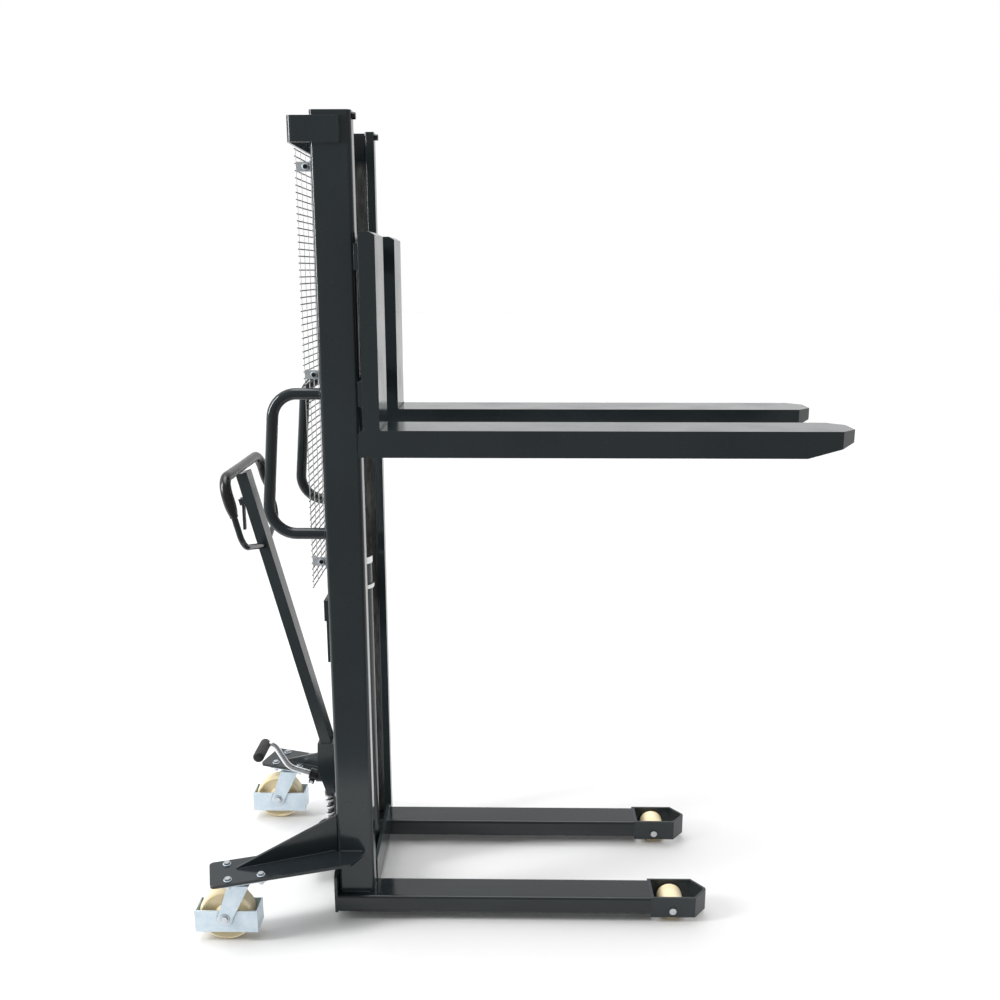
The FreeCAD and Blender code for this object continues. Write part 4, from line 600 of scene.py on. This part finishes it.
def bead_line(shape, start, end, radius=2.2 * mm):
    count = max(6, int((Vector(end) - Vector(start)).length / bead_step))
    bead(shape, line(start, end, count), radius)


leg_low, leg_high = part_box("right_leg")
arm_low, arm_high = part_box("outrigger_plates")
swivel = Vector(next(j for j in frame["joints"] if j["name"] == "right_caster_swivel")["pos_m"])
splay = math.radians(17)


def on_arm(along, inwards, height):
    """A spot on the right outrigger arm, measured from the caster's swivel."""
    return Vector((swivel.x + along * math.cos(splay) - inwards * math.sin(splay),
                   swivel.y + along * math.sin(splay) + inwards * math.cos(splay), height))


arm_top = arm_high.z
rib_turn = math.radians(20.5)
rib_plate = 8 * mm


def on_rib(along, inwards, height):
    """A spot beside the gusset's foot line."""
    spot = on_arm(0, rib_plate, height)
    return (spot + X * (along * math.cos(rib_turn) - inwards * math.sin(rib_turn))
            + Y * (along * math.sin(rib_turn) + inwards * math.cos(rib_turn)))


leg_top = leg_high.z
corner = 10 * mm
welds = Shape()
bead_line(welds, (rear_x + corner, -outer_y, leg_top), (front_x - corner, -outer_y, leg_top), 2.6 * mm)
bead_line(welds, (front_x, -outer_y + corner, leg_top), (front_x, -inner_y, leg_top), 2.4 * mm)
for height, end, radius in ((arm_top, 70 * mm, 2.4 * mm), (arm_low.z, 68 * mm, 2.2 * mm)):
    bead_line(welds, (rear_x + corner, -outer_y, height), (rear_x + end, -outer_y, height), radius)
bead_line(welds, (rear_x, -outer_y + 11 * mm, arm_top), (rear_x, -inner_y - 1 * mm, arm_top), 2.2 * mm)
rib_start, rib_length, rib_rise = -14 * mm, 246 * mm, 100 * mm
for inwards, end in ((0, 244 * mm), (rib_plate, 241 * mm)):
    bead_line(welds, on_rib(rib_start, inwards, arm_top), on_rib(end, inwards, arm_top), 2.0 * mm)
rib_end = on_rib(rib_length, rib_plate, arm_top)
bead_line(welds, (rear_x, rib_end.y, arm_top), (rear_x, rib_end.y, arm_top + rib_rise), 2.0 * mm)
handle_low, handle_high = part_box("grab_handles")
handle_y = -(outer_y + inner_y) / 2
tube_radius = 14.5 * mm
collar_radius = tube_radius + 0.3 * mm
for height in (handle_high.z - tube_radius, handle_low.z + tube_radius):
    collar = circle((rear_x, handle_y, height), Y, Z, collar_radius, 56)
    bead(welds, collar + [Vector((rear_x, handle_y + collar_radius, height))], 1.9 * mm)
beam_low, beam_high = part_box("top_beam")
bead_line(welds, (beam_high.x, -outer_y, beam_low.z + 2 * mm),
          (beam_high.x, -outer_y, beam_high.z - 2 * mm), 2.0 * mm)
bead_line(welds, (rear_x + 11 * mm, -outer_y, beam_low.z),
          (beam_high.x - 2 * mm, -outer_y, beam_low.z), 1.8 * mm)
mid_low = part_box("middle_beam")[0]
mid_height = 169 * mm
for height in (mid_low.z, mid_low.z + mid_height):
    bead_line(welds, (rear_x, mid_low.y + 1 * mm, height), (rear_x, -inner_y - 1 * mm, height), 2.0 * mm)
bead_line(welds, (leg_high.x, leg_low.y, leg_low.z + 2 * mm), (leg_high.x, leg_low.y, leg_top), 1.2 * mm)
bead_line(welds, (leg_high.x, leg_low.y, leg_top), (leg_high.x, leg_high.y, leg_top), 1.2 * mm)
pocket_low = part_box("roller_pockets")[0]
load_axle = next(j for j in frame["joints"] if j["name"] == "right_load_roller_turn")["pos_m"]
for face, way in ((pocket_low.y, -1), (leg_high.y, 1)):
    welds.lathe((load_axle[0], face, load_axle[2]), Y * way, washer(9.6, 14.0, 13.6, 12.6, 1.4, 2.0), 32)
plug_height = 337 * mm
for along in (rear_x + 36 * mm, rear_x + 69 * mm):
    welds.lathe((along, -outer_y, plug_height), -Y,
                turned((-0.5, 4.6), (0.15, 4.4), (0.4, 3.0), (0.45, 0.1)), 20)
welds.mirrored().make("frame_welds", weld_paint, "frame", "dark_paint")

# The same on the carriage: the forks' heels and the ends of the bars.
fork_low, fork_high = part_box("right_fork")
bar_low, bar_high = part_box("carriage_bars")
shank_front = fork_low.x + 53 * mm
fork_top = 1355 * mm
bar_height = 60 * mm
carriage_welds = Shape()
bead_line(carriage_welds, (shank_front, fork_low.y + 3 * mm, fork_top),
          (shank_front, fork_high.y - 3 * mm, fork_top), 2.6 * mm)
for height in (bar_low.z, bar_low.z + bar_height, bar_high.z - bar_height, bar_high.z):
    for start, end in ((fork_low.y + 9 * mm, fork_low.y + 3 * mm), (fork_high.y - 5 * mm, fork_high.y)):
        bead_line(carriage_welds, (bar_high.x, start, height), (bar_high.x, end, height), 1.8 * mm)
carriage_welds.mirrored().make("carriage_welds", weld_paint, "carriage", "dark_paint")

# Foot pedal grip: fluted rubber with rounded ends.
grip_low, grip_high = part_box("pedal_grip")
grip_centre = (grip_low + grip_high) / 2
grip_radius = (grip_high.x - grip_low.x) / 2
grip_half = (grip_high.y - grip_low.y) / 2
flutes, per_flute = 18, 6
flute_depth, end_flute_depth = 0.07, 0.02
grip = Shape()
grip_profile = [(-1.0, 0.30), (-0.995, 0.62), (-0.97, 0.86), (-0.92, 0.98), (-0.86, 1.0), (0.86, 1.0),
                (0.92, 0.98), (0.97, 0.86), (0.995, 0.62), (1.0, 0.30)]
ring_size = flutes * per_flute
grip_points = []
for along, share in grip_profile:
    fluting = flute_depth if abs(along) < 0.93 else end_flute_depth
    for k in range(ring_size):
        angle = 2 * math.pi * k / ring_size
        reach = grip_radius * share * (1 - fluting * (0.5 - 0.5 * math.cos(flutes * angle)))
        grip_points.append(grip_centre + Y * (along * grip_half) + X * (reach * math.cos(angle))
                           + Z * (reach * math.sin(angle)))
last_ring = (len(grip_profile) - 1) * ring_size
grip_faces = [tuple(range(ring_size)), tuple(range(last_ring, last_ring + ring_size))[::-1]]
for a in range(0, last_ring, ring_size):
    b = a + ring_size
    for k in range(ring_size):
        n = (k + 1) % ring_size
        grip_faces.append((a + n, a + k, b + k, b + n))
grip.add(grip_points, grip_faces)
grip.make("pedal_rubber", black_rubber, "tiller", "black_rubber", ["pedal_grip"], sharp=50)

# Grip moulding on the tiller's loop: thick along the sides, tapering to its lower ends.
lean = math.radians(14.2)
loop_way = Vector((-math.sin(lean), 0, math.cos(lean)))
tiller_foot = Vector((front_x - 145.5 * mm, 0, 377 * mm))
loop_reach = 865 * mm
loop_top = tiller_foot + loop_way * loop_reach
loop_half, loop_bend = 185 * mm, 45 * mm
end_radius, side_radius, bend_end_radius, middle_radius = 9.8 * mm, 15.0 * mm, 13.4 * mm, 12.8 * mm
moulding_path = []
moulding_radii = []
side_steps, bend_steps, top_steps = 16, 10, 14
side_reach = 99 * mm


def on_loop(across, drop):
    """A spot in the loop's plane, measured from the middle of its top bar."""
    return loop_top + Y * across - loop_way * drop


half_path = []
for step in range(side_steps):
    share = step / side_steps
    drop = side_reach - share * (side_reach - loop_bend)
    swell = math.sin(min(share * 1.5, 1.0) * math.pi / 2)
    half_path.append((-loop_half, drop, end_radius + (side_radius - end_radius) * swell))
for step in range(bend_steps):
    angle = math.pi / 2 * step / bend_steps
    half_path.append((-loop_half + loop_bend * (1 - math.cos(angle)), loop_bend * (1 - math.sin(angle)),
                      side_radius - (side_radius - bend_end_radius) * step / bend_steps))
for step in range(top_steps + 1):
    half_path.append(((-loop_half + loop_bend) * (1 - step / top_steps), 0.0,
                      bend_end_radius - (bend_end_radius - middle_radius) * step / top_steps))
for across, drop, radius in half_path + [(-a, d, r) for a, d, r in half_path[-2::-1]]:
    moulding_path.append(on_loop(across, drop))
    moulding_radii.append(radius)
moulding = Shape()
moulding.tube(moulding_path, moulding_radii, 24)
for side in (-1, 1):
    moulding.lathe(on_loop(side * loop_half, side_reach), loop_way,
                   turned((-1.5, 8.6), (-1.5, 10.2), (-0.8, 10.9), (2.2, 10.9), (3.0, 10.0), (3.0, 8.6),
                          (-1.5, 8.6)), 24)
moulding.make("grip_moulding", grip_rubber, "tiller", "black_rubber", ["handle_grips"])

# Split clamp with its bolt where the pedal bar leaves the rocker.
bar_way = Vector((-86, 0, 28)).normalized()
bar_rise = Vector((28, 0, 86)).normalized()
bar_spot = Vector((front_x - 188 * mm, 0, 302.9 * mm))
clamp = Shape()
clamp.lathe(bar_spot, bar_way, turned((0, 8.1), (0, 14.0), (1.2, 15.4), (22.8, 15.4), (24, 14.0), (24, 8.1),
                                      (0, 8.1)), 36)
lug = [bar_way * (along * mm) + bar_rise * (out * mm)
       for along, out in ((20, -10), (20, -22), (18, -25), (6, -25), (4, -22), (4, -10))]
clamp_half, lug_width = 11 * mm, 9.8 * mm
for start in (-clamp_half, clamp_half - lug_width):
    clamp.extrude(lug, bar_spot + Y * start, Y * lug_width)
clamp.make("pedal_clamp", dark_steel, "tiller", "dark_paint")
clamp_bolt = Shape()
bolt_spot = bar_spot + bar_way * (12 * mm) - bar_rise * (18 * mm)
bolt_head = turned((-1, 3.0), (0, 5.6), (0.8, 5.8), (3.6, 5.8), (4.2, 5.2), (4.3, 0.2))
for way in (-Y, Y):
    clamp_bolt.lathe(bolt_spot + way * clamp_half, way, bolt_head, 6)
clamp_bolt.make("pedal_clamp_bolt", bolt_steel, "tiller", "zinc_plate")

# Sharp edges of the plain solids are broken by a small rounding.
for name, width in (("right_fork", 1.3), ("left_fork", 1.3), ("outrigger_plates", 1.0),
                    ("outrigger_gussets", 1.0), ("top_beam", 0.8), ("base_beams", 1.2),
                    ("carriage_bars", 1.0), ("middle_beam", 1.0), ("rocker", 1.5), ("head_cover", 3.0),
                    ("release_lever", 1.0), ("right_caster_guard", 0.7), ("left_caster_guard", 0.7),
                    ("roller_pockets", 1.5)):
    rounded_in(nodes[name], width * mm)

# Washers, race rings and kingpins on the casters.
fork_box_low, fork_box_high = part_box("right_caster_fork")
washers = Shape()
for along in (-42 * mm, 42 * mm):
    for inwards in (-37.5 * mm, 37.5 * mm):
        washers.lathe(on_arm(along, inwards, arm_top), Z, washer(5.1, 10.6, 10.9, 10.2, 1.2, 1.7), 28)
race_bead = 1.5 * mm
for height, radius in ((5 * mm, 33.0 * mm), (10 * mm, 33.8 * mm)):
    race = circle((swivel.x, swivel.y, fork_box_high.z + height), X, Y, radius, 48)
    washers.tube(race, race_bead, 8, True)
washers.mirrored().make("caster_washers", bright_zinc, "frame", "zinc_plate")
axle_low, axle_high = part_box("right_caster_axle")
crown_plate = 6 * mm
for side, sign in (("right", 1), ("left", -1)):
    trim = Shape()
    for face, way in ((fork_box_low.y, -1), (fork_box_high.y, 1)):
        centre = Vector(((axle_low.x + axle_high.x) / 2, face, (axle_low.z + axle_high.z) / 2))
        trim.lathe(centre, Y * way, washer(6.1, 12.6, 12.9, 12.1, 1.4, 1.9), 32)
    crown = fork_box_high.z - crown_plate
    trim.lathe((swivel.x, swivel.y, crown), -Z,
               turned((-1, 15), (2.0, 15), (4.5, 12), (5.2, 6), (5.4, 0.2)), 28)
    if sign < 0:
        trim.points = [Vector((p.x, -p.y, p.z)) for p in trim.points]
        trim.faces = [face[::-1] for face in trim.faces]
    trim.make(side + "_caster_trim", bright_zinc, side + "_caster", "zinc_plate")

# Studio: floor, lights and camera.
floor_mesh = bpy.data.meshes.new("floor")
reach, front_edge = 40.0, -1.0
floor_corners = [(-reach, front_edge, 0), (reach, front_edge, 0), (reach, reach, 0), (-reach, reach, 0)]
floor_mesh.from_pydata(floor_corners, [], [(0, 1, 2, 3)])
floor = bpy.data.objects.new("floor", floor_mesh)
scene.collection.objects.link(floor)
floor_graph = Graph("floor_white")
floor_tone = floor_graph.mix(floor_graph.noise(2.0), rgb(231, 231, 231), rgb(229, 229, 229))
floor_graph.set(Base_Color=floor_tone, Roughness=0.6)
floor_mesh.materials.append(floor_graph.material)

world = bpy.data.worlds.new("studio")
scene.world = world
world.use_nodes = True
tree = world.node_tree
tree.nodes.clear()


def world_node(kind, **settings):
    item = tree.nodes.new(kind)
    for field, value in settings.items():
        setattr(item, field, value)
    return item


# The room is white behind and above the object, and dim towards the camera and the right.
ways = world_node("ShaderNodeTexCoord")
parts = world_node("ShaderNodeSeparateXYZ")
tree.links.new(ways.outputs["Generated"], parts.inputs[0])
away = world_node("ShaderNodeMath", operation="MULTIPLY_ADD")
tree.links.new(parts.outputs["X"], away.inputs[0])
away.inputs[1].default_value = -0.35
tree.links.new(parts.outputs["Y"], away.inputs[2])
depth = world_node("ShaderNodeMapRange", interpolation_type="SMOOTHSTEP")
tree.links.new(away.outputs[0], depth.inputs["Value"])
for field, number in (("From Min", -0.55), ("From Max", 0.25), ("To Min", 0.34), ("To Max", 1.0)):
    depth.inputs[field].default_value = number
room = world_node("ShaderNodeBackground")
tree.links.new(depth.outputs[0], room.inputs["Strength"])
room.inputs["Color"].default_value = (1.0, 1.0, 1.0, 1.0)
backdrop = world_node("ShaderNodeBackground")
backdrop.inputs["Color"].default_value = (1.0, 1.0, 1.0, 1.0)
backdrop.inputs["Strength"].default_value = 1.0
rays = world_node("ShaderNodeLightPath")
choice = world_node("ShaderNodeMixShader")
tree.links.new(rays.outputs["Is Camera Ray"], choice.inputs[0])
tree.links.new(room.outputs[0], choice.inputs[1])
tree.links.new(backdrop.outputs[0], choice.inputs[2])
tree.links.new(choice.outputs[0], world_node("ShaderNodeOutputWorld").inputs["Surface"])


def lamp(name, kind, place, target, power, **settings):
    data = bpy.data.lights.new(name, kind)
    data.energy = power
    for field, value in settings.items():
        setattr(data, field, value)
    item = bpy.data.objects.new(name, data)
    item.location = place
    item.rotation_euler = (Vector(target) - Vector(place)).to_track_quat("-Z", "Y").to_euler()
    scene.collection.objects.link(item)
    return item


lamp("overhead_sun", "SUN", (-0.1, 0.3, 4.0), (0.0, 0.0, 0.0), 1.9, angle=math.radians(44))
lamp("left_strip", "AREA", (-3.1, -1.0, 2.35), (-0.45, -0.2, 1.8), 84.0,
     shape="RECTANGLE", size=0.48, size_y=1.9)

camera_data = bpy.data.cameras.new("camera")
camera_data.sensor_width = 36.0
camera_data.lens = 36.26
camera = bpy.data.objects.new("camera", camera_data)
camera.location = (0.0046, -2.6625, 1.7323)
camera.rotation_euler = (math.radians(90 - 12.87), 0.0, math.radians(0.81))
scene.collection.objects.link(camera)
scene.camera = camera
scene.view_settings.view_transform = "Standard"
